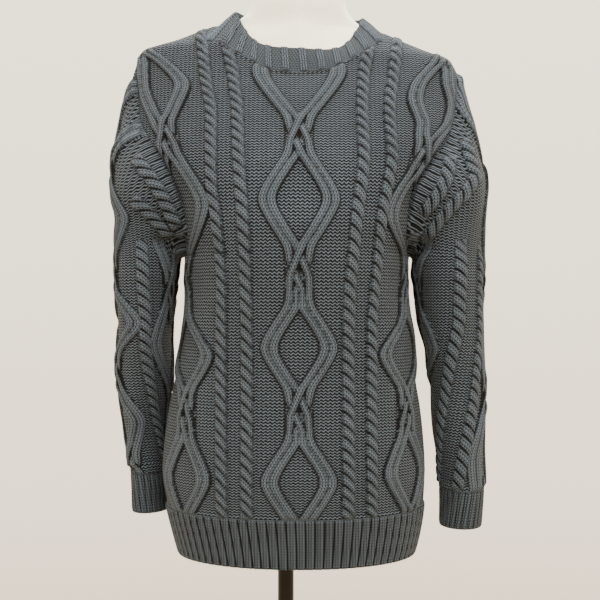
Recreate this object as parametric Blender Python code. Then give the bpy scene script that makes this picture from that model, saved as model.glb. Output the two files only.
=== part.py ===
"""A cable knit sweater standing on a limbless dress form.

The knitted pieces are hollow walls: a plain inside, and an outside raised where the cables and ribs run.
Every section, seam and cable is worked out from the sizes below, in millimetres. +Z is up, the front faces -Y,
and the origin is on the floor under the pole. Left and right are as seen from the front.
"""

import math

import bmesh
import bpy
import numpy as np

MM = 0.001

# Cloth
WALL = 3.2
SEAM_GAP, NECK_GAP = 0.4, 0.65
CABLE_RELIEF = 3.6
RIB_RELIEF = 1.8
SECTION_POWER = 2.1

# Garment's middle stands beside the pole's axis
GARMENT_SHIFT = 16.0

# Body of the sweater, a row for each level
BODY_LEVELS = np.array([
    # height, left half-width, right half-width, front depth, back depth
    (757, 143, 137, 104, 98),
    (786, 151, 144, 110, 104),
    (815, 158, 148, 117, 108),
    (858, 165, 150, 121, 106),
    (894, 162, 148, 120, 102),
    (931, 156, 144, 118, 98),
    (961, 149, 139, 117, 95),
    (1017, 139, 134, 120, 90),
    (1062, 136, 130, 125, 89),
    (1107, 134, 128, 130, 91),
    (1135, 147, 141, 130, 94),
    (1163, 165, 158, 124, 97),
    (1203, 188, 181, 113, 98),
    (1246, 206, 199, 97, 94),
    (1294, 203, 196, 78, 84),
    (1316, 200, 192, 68, 78),
    (1331, 197, 187, 62, 71),
    (1342, 193, 179, 58, 66),
    (1353, 187, 151, 54, 60),
    (1365, 150, 122, 49, 54),
    (1377, 118, 96, 44, 47),
    (1389, 84, 72, 38, 40),
    (1401, 50, 46, 30, 32),
], float)
HEM_LEVEL, RIB_LEVEL, UNDERARM_LEVEL = 757.0, 815.0, 1107.0

# Armhole seam, a row for each level: how far the seam lies from the middle
ARMHOLE = np.array([
    # height, left, right
    (1107, 134, 128),
    (1115, 130, 125),
    (1130, 130, 125),
    (1150, 134, 128),
    (1180, 143, 135),
    (1212, 154, 150),
    (1240, 171, 170),
    (1265, 184, 179),
    (1303, 189, 185),
    (1331, 193, 187),
    (1342, 193, 179),
], float)
SHOULDER_CORNER = {-1: 1342.0, 1: 1331.0}
SEAM_SINK = 7.0
# Soft folds and hollows of the body, a row for each
BODY_FOLDS = (
    # side, y, height, y spread, height spread, push out
    (-1, 28, 872, 34, 62, -13),
    (-1, -70, 1070, 26, 30, -3),
    (1, -62, 1062, 22, 34, -4),
    (-1, 60, 1060, 30, 40, -4),
    (1, 60, 1060, 30, 40, -4),
)

# Neck seam, a row for each distance from the middle
NECK_SEAM = np.array([
    # distance, front height, back height
    (0, 1316, 1374),
    (16, 1317, 1374),
    (32, 1319, 1374.5),
    (46, 1325, 1375.5),
    (62, 1334, 1376.5),
    (75, 1343, 1376),
    (86, 1351, 1376.5),
    (92, 1356, 1377),
], float)
NECK_CORNER_X, NECK_STEP, NECK_SPACE, NECK_BULGE = 93.0, 0.5, 2.0, 4.0

# Ropes, a row for each level: distance of each rope's middle from the garment's middle
ROPES = np.array([
    # height, outer left, inner left, inner right, outer right
    (820, -85, -57, 54, 80),
    (945, -86, -57, 54, 80),
    (1020, -86, -57, 54, 80),
    (1062, -86, -58, 55, 83),
    (1105, -87, -59, 59, 87),
    (1147, -91, -61, 63, 91),
    (1189, -97, -65, 69, 99),
    (1220, -98, -67, 72, 104),
    (1265, -99, -69, 71, 102),
    (1313, -107, -75, 74, 108),
    (1345, -111, -82, 80, 113),
    (1385, -117, -88, 84, 118),
], float)
ROPE_WIDTH = 15.0

# Ogee cables: levels of the crossings, and how far the bands stand apart between them
CENTRE_CROSSINGS = (1381, 1236, 1094, 936, 780)
CENTRE_OPENINGS = (43, 34, 31.5, 31)
SIDE_OPENINGS = (26, 31, 36, 34)
SIDE_CROSSINGS = {-1: (1366, 1236, 1079, 929, 788), 1: (1352, 1216, 1077, 925, 785)}
SIDE_AXIS = np.array([
    # height, left, right
    (815, -129, 123),
    (929, -127, 121),
    (1079, -131, 124),
    (1120, -128, 124),
    (1160, -131, 126),
    (1216, -146, 139),
    (1240, -150, 148),
    (1262, -156, 157),
    (1300, -158, 156),
    (1330, -170, 166),
    (1352, -184, 172),
    (1366, -186, 176),
], float)
BAND_WIDTH = 20.0
TOUCHING = 5.0
# Two bands count as one raised cable once their middles are nearer the axis than this, fully so after the fade
CLOSED_BELOW, CLOSED_FADE = 12.0, 4.0
INNER_EDGE, INNER_TOP = 1.2, 2.4
# A rope's columns: its two edges and the two sides of its raised top, in shares of its width
ROPE_COLUMNS = np.array([-0.5, -0.22, 0.22, 0.5])

# Sleeves, a row for each level below the armhole
SLEEVE_LEVELS = {
    -1: np.array([
        # height, middle x, middle y, half-width, half-depth, turn in degrees
        (801, -181, 28, 20, 34, 10),
        (849, -182, 33, 20, 38, 14),
        (889, -184, 31, 22, 44, 15),
        (925, -186, 24, 25, 47, 13),
        (961, -186, 15, 28.5, 50, 10),
        (1017, -184, 6, 31.5, 56, 4),
        (1062, -183, 2, 34, 60, 0),
        (1085, -181, 0, 35, 62, 0),
    ], float),
    1: np.array([
        (787, 193.5, 2, 23.5, 34, 0),
        (832, 195, 2, 25, 37, 0),
        (870, 192.5, 2, 27.5, 42, 0),
        (900, 190, 2, 30, 46, 0),
        (961, 186, 2, 33, 51, 0),
        (1017, 181.5, 1, 35.5, 57, 0),
        (1046, 179, 0, 37, 60, 0),
        (1085, 176.5, 0, 41, 63, 0),
    ], float),
}
CUFF_LEVELS = {-1: (801.0, 849.0), 1: (787.0, 832.0)}
CAP_LEVEL = 1085.0
SLEEVE_COLUMNS = np.array([
    # share of the way round from the outer fold to the underarm, raised (1) or not
    (0.07, 0), (0.12, 1), (0.18, 1), (0.235, 0), (0.265, 0), (0.31, 1), (0.355, 0), (0.45, 0),
    (0.495, 1), (0.54, 0), (0.64, 0), (0.71, 1), (0.78, 0),
], float)
CAP_STEPS = (0.03, 0.08, 0.14, 0.2, 0.26, 0.32, 0.39, 0.46, 0.53, 0.6, 0.68, 0.76, 0.84, 0.92, 1.0)
SLEEVE_STEP = 16.0
SLEEVE_TWIST = {
    -1: np.array([(801, 0.1), (889, 0.08), (1000, 0.0), (1085, 0.0)], float),
    1: np.array([(787, 0.3), (850, 0.25), (961, 0.1), (1030, 0.0), (1085, 0.0)], float),
}
# How the cloth leaves the armhole, a row for each share of the way from the shoulder to the underarm
CAP_LEAVES = np.array([
    # share, outward, forward or back, upward, reach, reach at the end
    (0.00, 0.30, 0.00, -1.00, 240, 150),
    (0.25, 0.70, 0.30, -0.70, 200, 150),
    (0.50, 1.00, 0.35, -0.25, 130, 140),
    (0.75, 1.00, 0.25, 0.00, 75, 90),
    (1.00, 1.00, 0.00, 0.05, 34, 30),
], float)
# Soft folds of the sleeves, a row for each
SLEEVE_FOLDS = (
    # side, face, share, height, share spread, height spread, push out
    (1, 0, 0.00, 1195, 0.22, 24, 7),
    (1, -1, 0.55, 1180, 0.25, 30, 8),
    (1, -1, 0.85, 1117, 0.22, 9, -8),
    (1, -1, 0.45, 1085, 0.10, 26, 3),
    (-1, 0, 0.00, 1222, 0.22, 20, 3),
    (-1, -1, 0.58, 1178, 0.25, 30, 8),
    (-1, -1, 0.80, 1122, 0.24, 9, -7),
    (-1, -1, 0.33, 1085, 0.09, 40, 4),
    (-1, 1, 0.55, 1170, 0.25, 32, 6),
    (1, 1, 0.55, 1170, 0.25, 32, 6),
    (-1, 1, 0.85, 1120, 0.22, 10, -6),
    (1, 1, 0.85, 1120, 0.22, 10, -6),
)
# Two ropes cross the top of each sleeve towards the underarm, a row for each
CAP_ROPES = (
    # step along the cap, share at its outer end
    (0.32, 0.10),
    (0.53, 0.14),
)

# Grid of a panel: shares of the way from the shoulder or neck down to the underarm, then even steps to the rib
UPPER_ROWS = (0, 0.005, 0.018, 0.04, 0.075, 0.12, 0.17, 0.23, 0.29, 0.35, 0.41, 0.47, 0.53, 0.59, 0.65,
              0.71, 0.775, 0.84, 0.92, 1)
LOWER_STEPS = 18
# The rows and columns of the outer grid that the plain inside keeps
INSIDE_ROWS = (2, 4, 6, 8, 10, 12, 14, 15, 16, 17, 18, 19, 21, 23, 25, 27, 29, 32, 34, 36)
INSIDE_COLUMNS = (3, 7, 11, 15, 19, 23, 27, 31, 35, 39, 43)
# Least space between columns where an edge cuts them off, and everywhere else
MIN_SPACE, COLUMN_SPACE = 1.3, 1.0
# The column, counted from a panel's edge, that meets the neck's corner; the next one's share of the drop below it
NECK_FROM_EDGE = 13
NECK_DROP = 0.55
# Number of rows over which the neck's corner fades, that stay plain, and down to which the columns are evened out
NECK_FADE, PLAIN_ROWS, EVEN_ROW = 1, 3, 4
RIDGE_STEP = 0.7
# A level where every column is apart from its neighbours, a first guess for the neck, and steps of each search
FULL_LEVEL, NECK_GUESS = 1200.0, 1340.0
RIDGE_SEARCH, TOP_SEARCH, NECK_SEARCH = 40, 30, 12
BEYOND_EDGE = 400.0
FOLD_FROM = 60.0
# Dip along the armhole seam
SINK_SPREAD = 14.0
SINK_LEVELS = (1107.0, 1235.0)
# The wall's cut face at the armhole turns towards this point inside each shoulder
ARMHOLE_CENTRE, MITRE = (165.0, 0.0, 1225.0), 1.3
UNDERARM_REACH, UNDERARM_DROP, UNDERARM_FADE = 60.0, 8.0, 30.0
# Grid of a sleeve
SLEEVE_INSIDE_COLUMNS = (0, 3, 6, 8, 11, 13, 15, 17, 20, 22, 25)
SLEEVE_INSIDE_STEP = 3
CAP_INSIDE_ROWS = (0, 2, 4, 6, 8, 10, 12)
CAP_RAISED_ROWS = 4
CAP_ROPE_END = 0.93
SECOND_RING_PUSH = 0.5

# Ribbing
HEM_RIBS = 36
CUFF_RIBS = 16
NECK_RIBS = 24
RIB_START = 5.0
NECK_BOW = 1.5
NECK_SHARES, NECK_INSIDE_SHARES = (0.12, 0.55, 1.0), (0.4, 1.0)
HEM_INSIDE, CUFF_INSIDE, NECK_INSIDE = 15, 12, 24
# One rib: the place of each column in it, and whether it is raised
HEM_RIB = ((0.0, 0), (0.3, 1), (0.8, 1))
NECK_RIB = ((0.0, 0), (0.1, 1), (0.55, 1), (0.65, 0))
NECK_TOP = np.array([
    # distance from the middle, y, height, along the neckband's upper edge from its front to its back
    (0, -51, 1347),
    (26, -48, 1347.5),
    (44, -40, 1352),
    (57, -31, 1362),
    (67, -20, 1378),
    (73, -8, 1391),
    (75, 3, 1398),
    (72, 14, 1399),
    (63, 25, 1399),
    (48, 33, 1399),
    (26, 39, 1399),
    (0, 41, 1399),
], float)
NECK_TILT = 0.055
NECK_TOP_DENSER = 4
# The neck seam's points end just short of each half's end, so that no two share a place
NECK_HALF_END = 0.998
NECK_LOOK_UP = 0.05

# Dress form
FORM_LEVELS = np.array([
    # height, left half-width, right half-width, front depth, back depth, roundness of the section
    (775, 96, 94, 70, 66, 2.1),
    (779, 116, 112, 84, 80, 2.1),
    (792, 134, 127, 94, 90, 2.1),
    (850, 143, 131, 100, 92, 2.1),
    (930, 131, 124, 97, 84, 2.1),
    (1000, 114, 112, 98, 76, 2.1),
    (1062, 118, 115, 110, 78, 2.1),
    (1107, 121, 117, 116, 82, 2.1),
    (1150, 127, 123, 116, 86, 2.1),
    (1203, 139, 135, 102, 88, 2.1),
    (1250, 148, 145, 86, 84, 2.1),
    (1294, 151, 148, 67, 74, 2.1),
    (1320, 152, 148, 53, 66, 1.9),
    (1338, 151, 147, 45, 58, 1.4),
    (1350, 151, 147, 42, 50, 1.15),
    (1361, 151, 147, 40, 44, 1.1),
    (1373, 151, 147, 38, 38, 1.1),
    (1379, 98, 81, 37, 36, 1.15),
    (1385, 82, 73, 36, 35, 1.3),
    (1391, 73, 66, 37, 34, 1.5),
    (1397, 65, 61, 39, 33, 1.7),
    (1404, 60, 57, 41, 34, 1.9),
    (1416, 56, 55, 43, 39, 2.0),
    (1432, 54, 54, 45, 44, 2.0),
    (1470, 53, 53, 46, 46, 2.0),
    (1476, 49, 49, 42, 42, 2.0),
], float)
FORM_DROP = 4.1
FORM_SHOULDER = (1338.0, 1376.0)
FORM_RINGS = (775, 779, 792, 850, 900, 950, 1000, 1050, 1107, 1150, 1203, 1250, 1294, 1320, 1338, 1349, 1355,
              1361, 1367, 1373, 1379, 1385, 1391, 1397, 1404, 1416, 1432, 1470, 1476)
FORM_SIDES = 24
POLE_RADIUS = 9.5
POLE_SIDES = 20
BASE_RADIUS, BASE_HEIGHT, BASE_BEVEL = 160.0, 22.0, 5.0
BASE_SIDES = 40
# Where the base's rounded edge passes between its two straight cuts
BEVEL_MIDDLE = 0.3
FIT = 0.3

# Colours, and how rough each surface is
COTTON = (0.075, 0.087, 0.088)
FORM_CREAM = (0.80, 0.75, 0.66)
POLE_BROWN = (0.045, 0.028, 0.015)
COTTON_ROUGHNESS, FORM_ROUGHNESS, POLE_ROUGHNESS = 0.9, 0.6, 0.35


def level(table, height, column):
    """One column of a table, read at any height on a smooth curve that doesn't overshoot its rows."""
    rows, values = table[:, 0], table[:, column]
    span = np.diff(rows)
    slope = np.diff(values) / span
    tangent = np.zeros_like(values)
    same = slope[:-1] * slope[1:] > 0
    total = np.where(same, slope[:-1] + slope[1:], 1)
    tangent[1:-1] = np.where(same, 2 * slope[:-1] * slope[1:] / total, 0)
    tangent[0], tangent[-1] = slope[0], slope[-1]
    height = np.clip(np.asarray(height, float), rows[0], rows[-1])
    at = np.clip(np.searchsorted(rows, height, side="right") - 1, 0, len(span) - 1)
    t = (height - rows[at]) / span[at]
    return (
        (2 * t**3 - 3 * t**2 + 1) * values[at]
        + (t**3 - 2 * t**2 + t) * span[at] * tangent[at]
        + (3 * t**2 - 2 * t**3) * values[at + 1]
        + (t**3 - t**2) * span[at] * tangent[at + 1]
    )


def unit(vectors):
    return vectors / np.maximum(np.linalg.norm(vectors, axis=-1, keepdims=True), 1e-9)


def body_width(x, height):
    return np.where(x < 0, level(BODY_LEVELS, height, 1), level(BODY_LEVELS, height, 2))


def body_point(x, height, back):
    """The point of the body's smooth surface at this x and height."""
    share = np.clip(np.abs(x) / body_width(x, height), 0, 1) ** SECTION_POWER
    depth = level(BODY_LEVELS, height, 4 if back else 3) * (1 - share) ** (1 / SECTION_POWER)
    return np.stack([x, depth if back else -depth, height], axis=-1)


def body_normal(points, back):
    """Outward directions of the body's smooth surface at points on it."""
    x, y, height = points[..., 0], points[..., 1], points[..., 2]
    column = 4 if back else 3
    width, depth = body_width(x, height), level(BODY_LEVELS, height, column)
    width_slope = (body_width(x, height + 0.5) - body_width(x, height - 0.5)) / width
    depth_slope = (level(BODY_LEVELS, height + 0.5, column) - level(BODY_LEVELS, height - 0.5, column)) / depth
    across, through = np.clip(np.abs(x) / width, 0, 1), np.clip(np.abs(y) / depth, 0, 1)
    return unit(np.stack([
        np.sign(x) * across ** (SECTION_POWER - 1) / width,
        np.sign(y) * through ** (SECTION_POWER - 1) / depth,
        -across**SECTION_POWER * width_slope - through**SECTION_POWER * depth_slope,
    ], axis=-1))


def section(height, back):
    """x, and the length along the cloth from the middle, at even turns across one level of the body."""
    turn = np.radians(np.linspace(-90, 90, 181))
    x = np.sign(turn) * np.abs(np.sin(turn)) ** (2 / SECTION_POWER)
    x = x * body_width(turn, height)
    y = level(BODY_LEVELS, height, 4 if back else 3) * np.cos(turn) ** (2 / SECTION_POWER)
    length = np.concatenate([[0], np.cumsum(np.hypot(np.diff(x), np.diff(y)))])
    return x, length - length[90]


def opening(height, crossings, widths):
    """How far each band of an ogee cable stands from the cable's axis."""
    crossings = np.array(crossings[::-1], float)
    widths = np.array(widths[::-1], float)
    at = int(np.clip(np.searchsorted(crossings, height) - 1, 0, len(widths) - 1))
    share = np.clip((height - crossings[at]) / (crossings[at + 1] - crossings[at]), 0, 1)
    return TOUCHING + (widths[at] - TOUCHING) * math.sin(math.pi * share) ** 2


def ogee_columns(apart):
    """Offsets and heights (0 to 1) of the columns over one half of an ogee cable, from its axis outwards."""
    closed = float(np.clip((CLOSED_BELOW - apart) / CLOSED_FADE, 0, 1))
    offsets = (max(apart - BAND_WIDTH / 2, INNER_EDGE), max(apart - BAND_WIDTH / 4, INNER_TOP),
               apart + BAND_WIDTH / 4, apart + BAND_WIDTH / 2)
    return np.array(offsets), np.array([closed, 1, 1, 0]), closed


def panel_columns(height, back):
    """Length along the cloth, from the middle, of every inner column of a body panel at one level.

    Returns the lengths from left to right, how far each column is raised (0 to 1), and the section to place
    them on.
    """
    across = section(height, back)

    def length_at(x):
        end = across[0][0 if x < 0 else -1]
        return float(np.interp(x, *across)) + (x - end if abs(x) > abs(end) else 0)

    def side_cable(side):
        axis = length_at(level(SIDE_AXIS, height, 1 if side < 0 else 2))
        apart = opening(height, SIDE_CROSSINGS[side], SIDE_OPENINGS)
        offsets, raised, _ = ogee_columns(apart)
        lengths = np.concatenate([axis + side * offsets[::-1], axis - side * offsets])
        return lengths, np.concatenate([raised[::-1], raised])

    def rope(column):
        middle = length_at(level(ROPES, height, column))
        return middle + ROPE_WIDTH * ROPE_COLUMNS

    offsets, raised, closed = ogee_columns(opening(height, CENTRE_CROSSINGS, CENTRE_OPENINGS))
    left, left_raised = side_cable(-1)
    right, right_raised = side_cable(1)
    ropes = [rope(column) for column in (1, 2, 3, 4)]
    plain, rope_raised = np.zeros(2), np.array([0, 1, 1, 0])
    lengths = np.concatenate([
        left, ropes[0], np.linspace(ropes[0][-1], ropes[1][0], 4)[1:3], ropes[1],
        -offsets[::-1], [0], offsets,
        ropes[2], np.linspace(ropes[2][-1], ropes[3][0], 4)[1:3], ropes[3], right[::-1],
    ])
    raised = np.concatenate([
        left_raised, rope_raised, plain, rope_raised,
        raised[::-1], [closed], raised,
        rope_raised, plain, rope_raised, right_raised[::-1],
    ])
    middle = len(lengths) // 2
    for at in range(middle + 1, len(lengths)):
        lengths[at] = max(lengths[at], lengths[at - 1] + COLUMN_SPACE)
        lengths[-1 - at] = min(lengths[-1 - at], lengths[-at] - COLUMN_SPACE)
    return lengths, raised, across


def edge_x(height, side):
    """Where a panel's edge lies: on the armhole above the underarm, and on the side seam below it."""
    column = 1 if side < 0 else 2
    if height > UNDERARM_LEVEL:
        return side * float(level(ARMHOLE, height, column))
    return side * float(level(BODY_LEVELS, height, column))


def ridge_height(x):
    """Height of the shoulder line over a distance x from the middle."""
    side = -1 if x < 0 else 1
    low, high = SHOULDER_CORNER[side], float(BODY_LEVELS[-1, 0])
    for _ in range(RIDGE_SEARCH):
        middle = (low + high) / 2
        if float(body_width(np.float64(x), middle)) > abs(x):
            low = middle
        else:
            high = middle
    return low


def neck_height(x, back):
    return float(level(NECK_SEAM, abs(x), 2 if back else 1)) - (NECK_TILT * x if back else 0)


def neck_place(x, from_edge):
    """The x where a column meets the neck seam: the columns keep their order beside the neck's corner."""
    most = NECK_CORNER_X - NECK_SPACE * (from_edge - NECK_FROM_EDGE - 1)
    return float(np.clip(x, -most, most))


def column_top(index, back):
    """Height at which an inner column meets the shoulder line or the neck seam."""
    count = len(panel_columns(FULL_LEVEL, back)[0])
    side = -1 if index < count / 2 else 1
    from_edge = index + 1 if side < 0 else count - index
    if from_edge <= NECK_FROM_EDGE:
        low, high = SHOULDER_CORNER[side], float(BODY_LEVELS[-1, 0])
        for _ in range(TOP_SEARCH):
            middle = (low + high) / 2
            lengths, _, across = panel_columns(middle, back)
            if abs(lengths[index]) < abs(across[1][0 if side < 0 else -1]):
                low = middle
            else:
                high = middle
        return low
    height = NECK_GUESS
    for _ in range(NECK_SEARCH):
        lengths, _, across = panel_columns(height, back)
        height = neck_height(neck_place(np.interp(lengths[index], *across[::-1]), from_edge), back)
    return height


def panel(back):
    """Base points, outward directions and relief (0 to 1) of the front's or the back's grid, from the top down."""
    columns = len(panel_columns(FULL_LEVEL, back)[0]) + 2
    lower = np.linspace(UNDERARM_LEVEL, RIB_LEVEL, LOWER_STEPS + 1)[1:]
    rows = len(UPPER_ROWS) + len(lower)
    points, raised = np.zeros((rows, columns, 3)), np.zeros((rows, columns))
    neck_columns = {NECK_FROM_EDGE: 0, NECK_FROM_EDGE + 1: 1}
    tops = {}
    for column in sorted(range(columns), key=lambda at: min(at, columns - 1 - at)):
        side = -1 if column < columns / 2 else 1
        from_edge = min(column, columns - 1 - column)
        if from_edge == 0:
            top = SHOULDER_CORNER[side]
        elif from_edge in neck_columns:
            ridge = ridge_height(side * NECK_CORNER_X)
            seam = neck_height(side * NECK_CORNER_X, back)
            top = ridge - neck_columns[from_edge] * NECK_DROP * (ridge - seam)
        else:
            top = column_top(column - 1, back)
            if from_edge < NECK_FROM_EDGE:
                top = max(top, tops[column + side] + RIDGE_STEP)
        tops[column] = top
        heights = np.concatenate([top - (top - UNDERARM_LEVEL) * np.array(UPPER_ROWS), lower])
        places = np.zeros(rows)
        for row, height in enumerate(heights):
            edge = edge_x(height, side) if height <= SHOULDER_CORNER[side] else side * BEYOND_EDGE
            if from_edge == 0:
                x = edge
            else:
                lengths, lifts, across = panel_columns(height, back)
                limit = abs(float(np.interp(edge, *across))) - MIN_SPACE * min(from_edge, 2 * row)
                length = lengths[column - 1]
                cut = abs(length) > limit
                x = float(np.interp(side * limit if cut else length, across[1], across[0]))
                raised[row, column] = 0 if cut else lifts[column - 1]
            if from_edge in neck_columns and row < NECK_FADE:
                share = 1 - row / NECK_FADE
                x += share * (side * (NECK_CORNER_X - NECK_STEP * neck_columns[from_edge]) - x)
            places[row] = x
        if from_edge > NECK_FROM_EDGE + 1:
            places[0] = neck_place(places[0], from_edge)
        first_shares = np.array(UPPER_ROWS[1:EVEN_ROW]) / UPPER_ROWS[EVEN_ROW]
        places[1:EVEN_ROW] = places[0] + first_shares * (places[EVEN_ROW] - places[0])
        if from_edge in neck_columns:
            places[1:EVEN_ROW] += side * NECK_BULGE * np.sqrt(first_shares) * (1 - first_shares)
        points[:, column] = body_point(places, heights, back)
    normals = body_normal(points, back)
    push = np.zeros(points.shape[:2])
    for side, y, height, y_spread, height_spread, out in BODY_FOLDS:
        away = ((points[..., 1] - y) / y_spread) ** 2 + ((points[..., 2] - height) / height_spread) ** 2
        push += np.where(points[..., 0] * side > FOLD_FROM, out * np.exp(-away), 0)
    return points + normals * push[..., None], normals, raised


def armhole_share(points, side):
    """How near each point of a panel is to the armhole's seam, 1 on the seam and 0 away from it."""
    heights = points[..., 2]
    seam = side * level(ARMHOLE, heights, 1 if side < 0 else 2)
    near = np.exp(-((points[..., 0] - seam) / SINK_SPREAD) ** 2)
    low, high = SINK_LEVELS
    return near * np.sin(np.pi * np.clip((heights - low) / (high - low), 0, 1)) ** 2


def seam_mitre(point, normal, side):
    """The way through the wall at the armhole, shared by the body and the sleeve."""
    centre = np.array(ARMHOLE_CENTRE) * np.array([side, 1, 1])
    return unit(unit(centre - point) - normal)


def body_panel(back):
    """The front or the back: outer points, inner points at its border, and inner points of the coarse grid."""
    base, normal, raised = panel(back)
    for side in (-1, 1):
        sink = SEAM_SINK * armhole_share(base, side)
        base = base - normal * sink[..., None]
    raised[:PLAIN_ROWS] = 0
    raised[-1] = 0
    beside_underarm = (np.abs(base[..., 1]) < UNDERARM_REACH) & (np.abs(base[..., 0]) > UNDERARM_REACH)
    below = np.clip((UNDERARM_LEVEL - UNDERARM_DROP - base[..., 2]) / UNDERARM_FADE, 0, 1)
    raised = np.where(beside_underarm, raised * below, raised)
    outer = base + normal * (CABLE_RELIEF * raised)[..., None]
    inside = base - normal * WALL
    for row in range(len(UPPER_ROWS)):
        for column, side in ((0, -1), (-1, 1)):
            way = seam_mitre(base[row, column], normal[row, column], side)
            inside[row, column] = base[row, column] + WALL * MITRE * way
    shift = np.array([0, SEAM_GAP if back else 0, 0])
    return outer + shift, inside + shift


def strip(first, second, first_at, second_at):
    """Triangles between two rows of points, each given with its positions along the row."""
    faces, i, j = [], 0, 0
    while i < len(first) - 1 or j < len(second) - 1:
        step_first = j == len(second) - 1 or (i < len(first) - 1 and first_at[i + 1] <= second_at[j + 1])
        if step_first:
            faces.append((first[i], second[j], first[i + 1]))
            i += 1
        else:
            faces.append((first[i], second[j], second[j + 1]))
            j += 1
    return faces


class Wall:
    """Collects the points and triangles of one closed wall."""

    def __init__(self):
        self.points, self.faces, self.count = [], [], 0

    def row(self, points):
        self.points.append(np.asarray(points, float))
        names = list(range(self.count, self.count + len(points)))
        self.count += len(points)
        return names

    def join(self, first, second, first_at=None, second_at=None, closed=False):
        if first_at is None:
            first_at = np.linspace(0, 1, len(first) + closed)[: len(first)]
        if second_at is None:
            second_at = np.linspace(0, 1, len(second) + closed)[: len(second)]
        if closed:
            first, second = first + first[:1], second + second[:1]
            first_at, second_at = list(first_at) + [first_at[0] + 1], list(second_at) + [second_at[0] + 1]
        self.faces += strip(first, second, list(first_at), list(second_at))

    def finish(self, name, colour, roughness=COTTON_ROUGHNESS, smooth=False):
        points = np.concatenate(self.points) * MM + np.array([GARMENT_SHIFT * MM, 0, 0])
        mesh = bpy.data.meshes.new(name)
        mesh.from_pydata(points.tolist(), [], self.faces)
        solid = bmesh.new()
        solid.from_mesh(mesh)
        bmesh.ops.recalc_face_normals(solid, faces=solid.faces)
        solid.to_mesh(mesh)
        solid.free()
        if smooth:
            mesh.shade_smooth()
        mesh.materials.append(finish_material(name, colour, roughness))
        item = bpy.data.objects.new(name, mesh)
        bpy.context.collection.objects.link(item)


def finish_material(name, colour, roughness):
    material = bpy.data.materials.new(name)
    material.use_nodes = True
    shader = material.node_tree.nodes["Principled BSDF"]
    shader.inputs["Base Color"].default_value = (*colour, 1)
    shader.inputs["Roughness"].default_value = roughness
    return material


def loop_of(grid_rows, row_at, column_at):
    """The border of a grid of point names, once round, with each name's place from 0 to 4."""
    rows, columns = len(grid_rows), len(grid_rows[0])
    names, at = [], []
    for column in range(columns - 1):
        names.append(grid_rows[0][column])
        at.append(column_at[column])
    for row in range(rows - 1):
        names.append(grid_rows[row][-1])
        at.append(1 + row_at[row])
    for column in range(columns - 1, 0, -1):
        names.append(grid_rows[-1][column])
        at.append(3 - column_at[column])
    for row in range(rows - 1, 0, -1):
        names.append(grid_rows[row][0])
        at.append(4 - row_at[row])
    return names, np.array(at)


def spread(picked):
    """Picked row or column numbers as places from 0 to 1."""
    return (np.array(picked) - picked[0]) / (picked[-1] - picked[0])


def open_wall(name, outer, inside, row_pick, column_pick):
    """A wall with four edges: its whole outer grid, and a coarser inner one that meets it all round."""
    wall = Wall()
    rows, columns = outer.shape[:2]
    row_at, column_at = np.linspace(0, 1, rows), np.linspace(0, 1, columns)
    outside = [wall.row(outer[row]) for row in range(rows)]
    for upper, lower in zip(outside, outside[1:]):
        wall.join(upper, lower)
    border, border_at = loop_of(outside, row_at, column_at)
    flat = inside.reshape(-1, 3)
    inner_border = wall.row(flat[border])
    wall.join(border, inner_border, border_at / 4, border_at / 4, closed=True)
    coarse = [wall.row(inside[row, list(column_pick)]) for row in row_pick]
    for upper, lower in zip(coarse, coarse[1:]):
        wall.join(upper, lower)
    coarse_border, coarse_at = loop_of(coarse, spread(row_pick), spread(column_pick))
    wall.join(inner_border, coarse_border, border_at / 4, coarse_at / 4, closed=True)
    wall.finish(name, COTTON)


def sleeve_shares(side):
    """Signed shares round a sleeve (front positive), in order, with each one's place from 0 to 1."""
    front = [0.0, *SLEEVE_COLUMNS[:, 0], 1.0]
    back = [-share for share in SLEEVE_COLUMNS[::-1, 0]]
    shares = np.array(front + back)
    return shares, np.where(shares >= 0, shares / 2, 1 + shares / 2)


def sleeve_ring(side, height, shares):
    """Points round a sleeve at one level, at signed shares of the way from its outer fold to the underarm."""
    table = SLEEVE_LEVELS[side]
    x, y, half_width, half_depth, turn = (float(level(table, height, column)) for column in range(1, 6))
    angle = np.radians(np.linspace(0, 360, 361))
    ring_x, ring_y = side * half_width * np.cos(angle), -half_depth * np.sin(angle)
    turn = math.radians(turn)
    ring = np.stack([
        x + ring_x * math.cos(turn) - side * ring_y * math.sin(turn),
        y + side * ring_x * math.sin(turn) + ring_y * math.cos(turn),
    ], axis=1)
    length = np.concatenate([[0], np.cumsum(np.linalg.norm(np.diff(ring, axis=0), axis=1))])
    half = length[180]
    twist = float(np.interp(height, *SLEEVE_TWIST[side].T))
    turned = np.mod((np.asarray(shares) + twist) * half, length[-1])
    return np.stack([np.interp(turned, length, ring[:, 0]), np.interp(turned, length, ring[:, 1]),
                     np.full(len(turned), height)], axis=1)


def cap_point(start, end, share, side, step):
    """A point on the sleeve's cap, on a smooth path from the armhole to the first full ring."""
    face = -1 if share >= 0 else 1
    outward, along, upward, reach, reach_end = (
        np.interp(abs(share), CAP_LEAVES[:, 0], CAP_LEAVES[:, column]) for column in range(1, 6)
    )
    leave = reach * unit(np.array([side * outward, face * along, upward]))
    arrive = np.array([0, 0, -reach_end])
    return (
        (2 * step**3 - 3 * step**2 + 1) * start
        + (step**3 - 2 * step**2 + step) * leave
        + (3 * step**2 - 2 * step**3) * end
        + (step**3 - step**2) * arrive
    )


def grid_normals(rows):
    """Outward directions of a grid whose rows are closed rings, all with the same number of points."""
    round_way = np.roll(rows, -1, axis=1) - np.roll(rows, 1, axis=1)
    down_way = np.gradient(rows, axis=0)
    normals = unit(np.cross(round_way, down_way))
    middle = rows.mean(axis=1, keepdims=True)
    facing = np.sum(normals * (rows - middle), axis=-1).mean()
    return normals if facing > 0 else -normals


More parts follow.
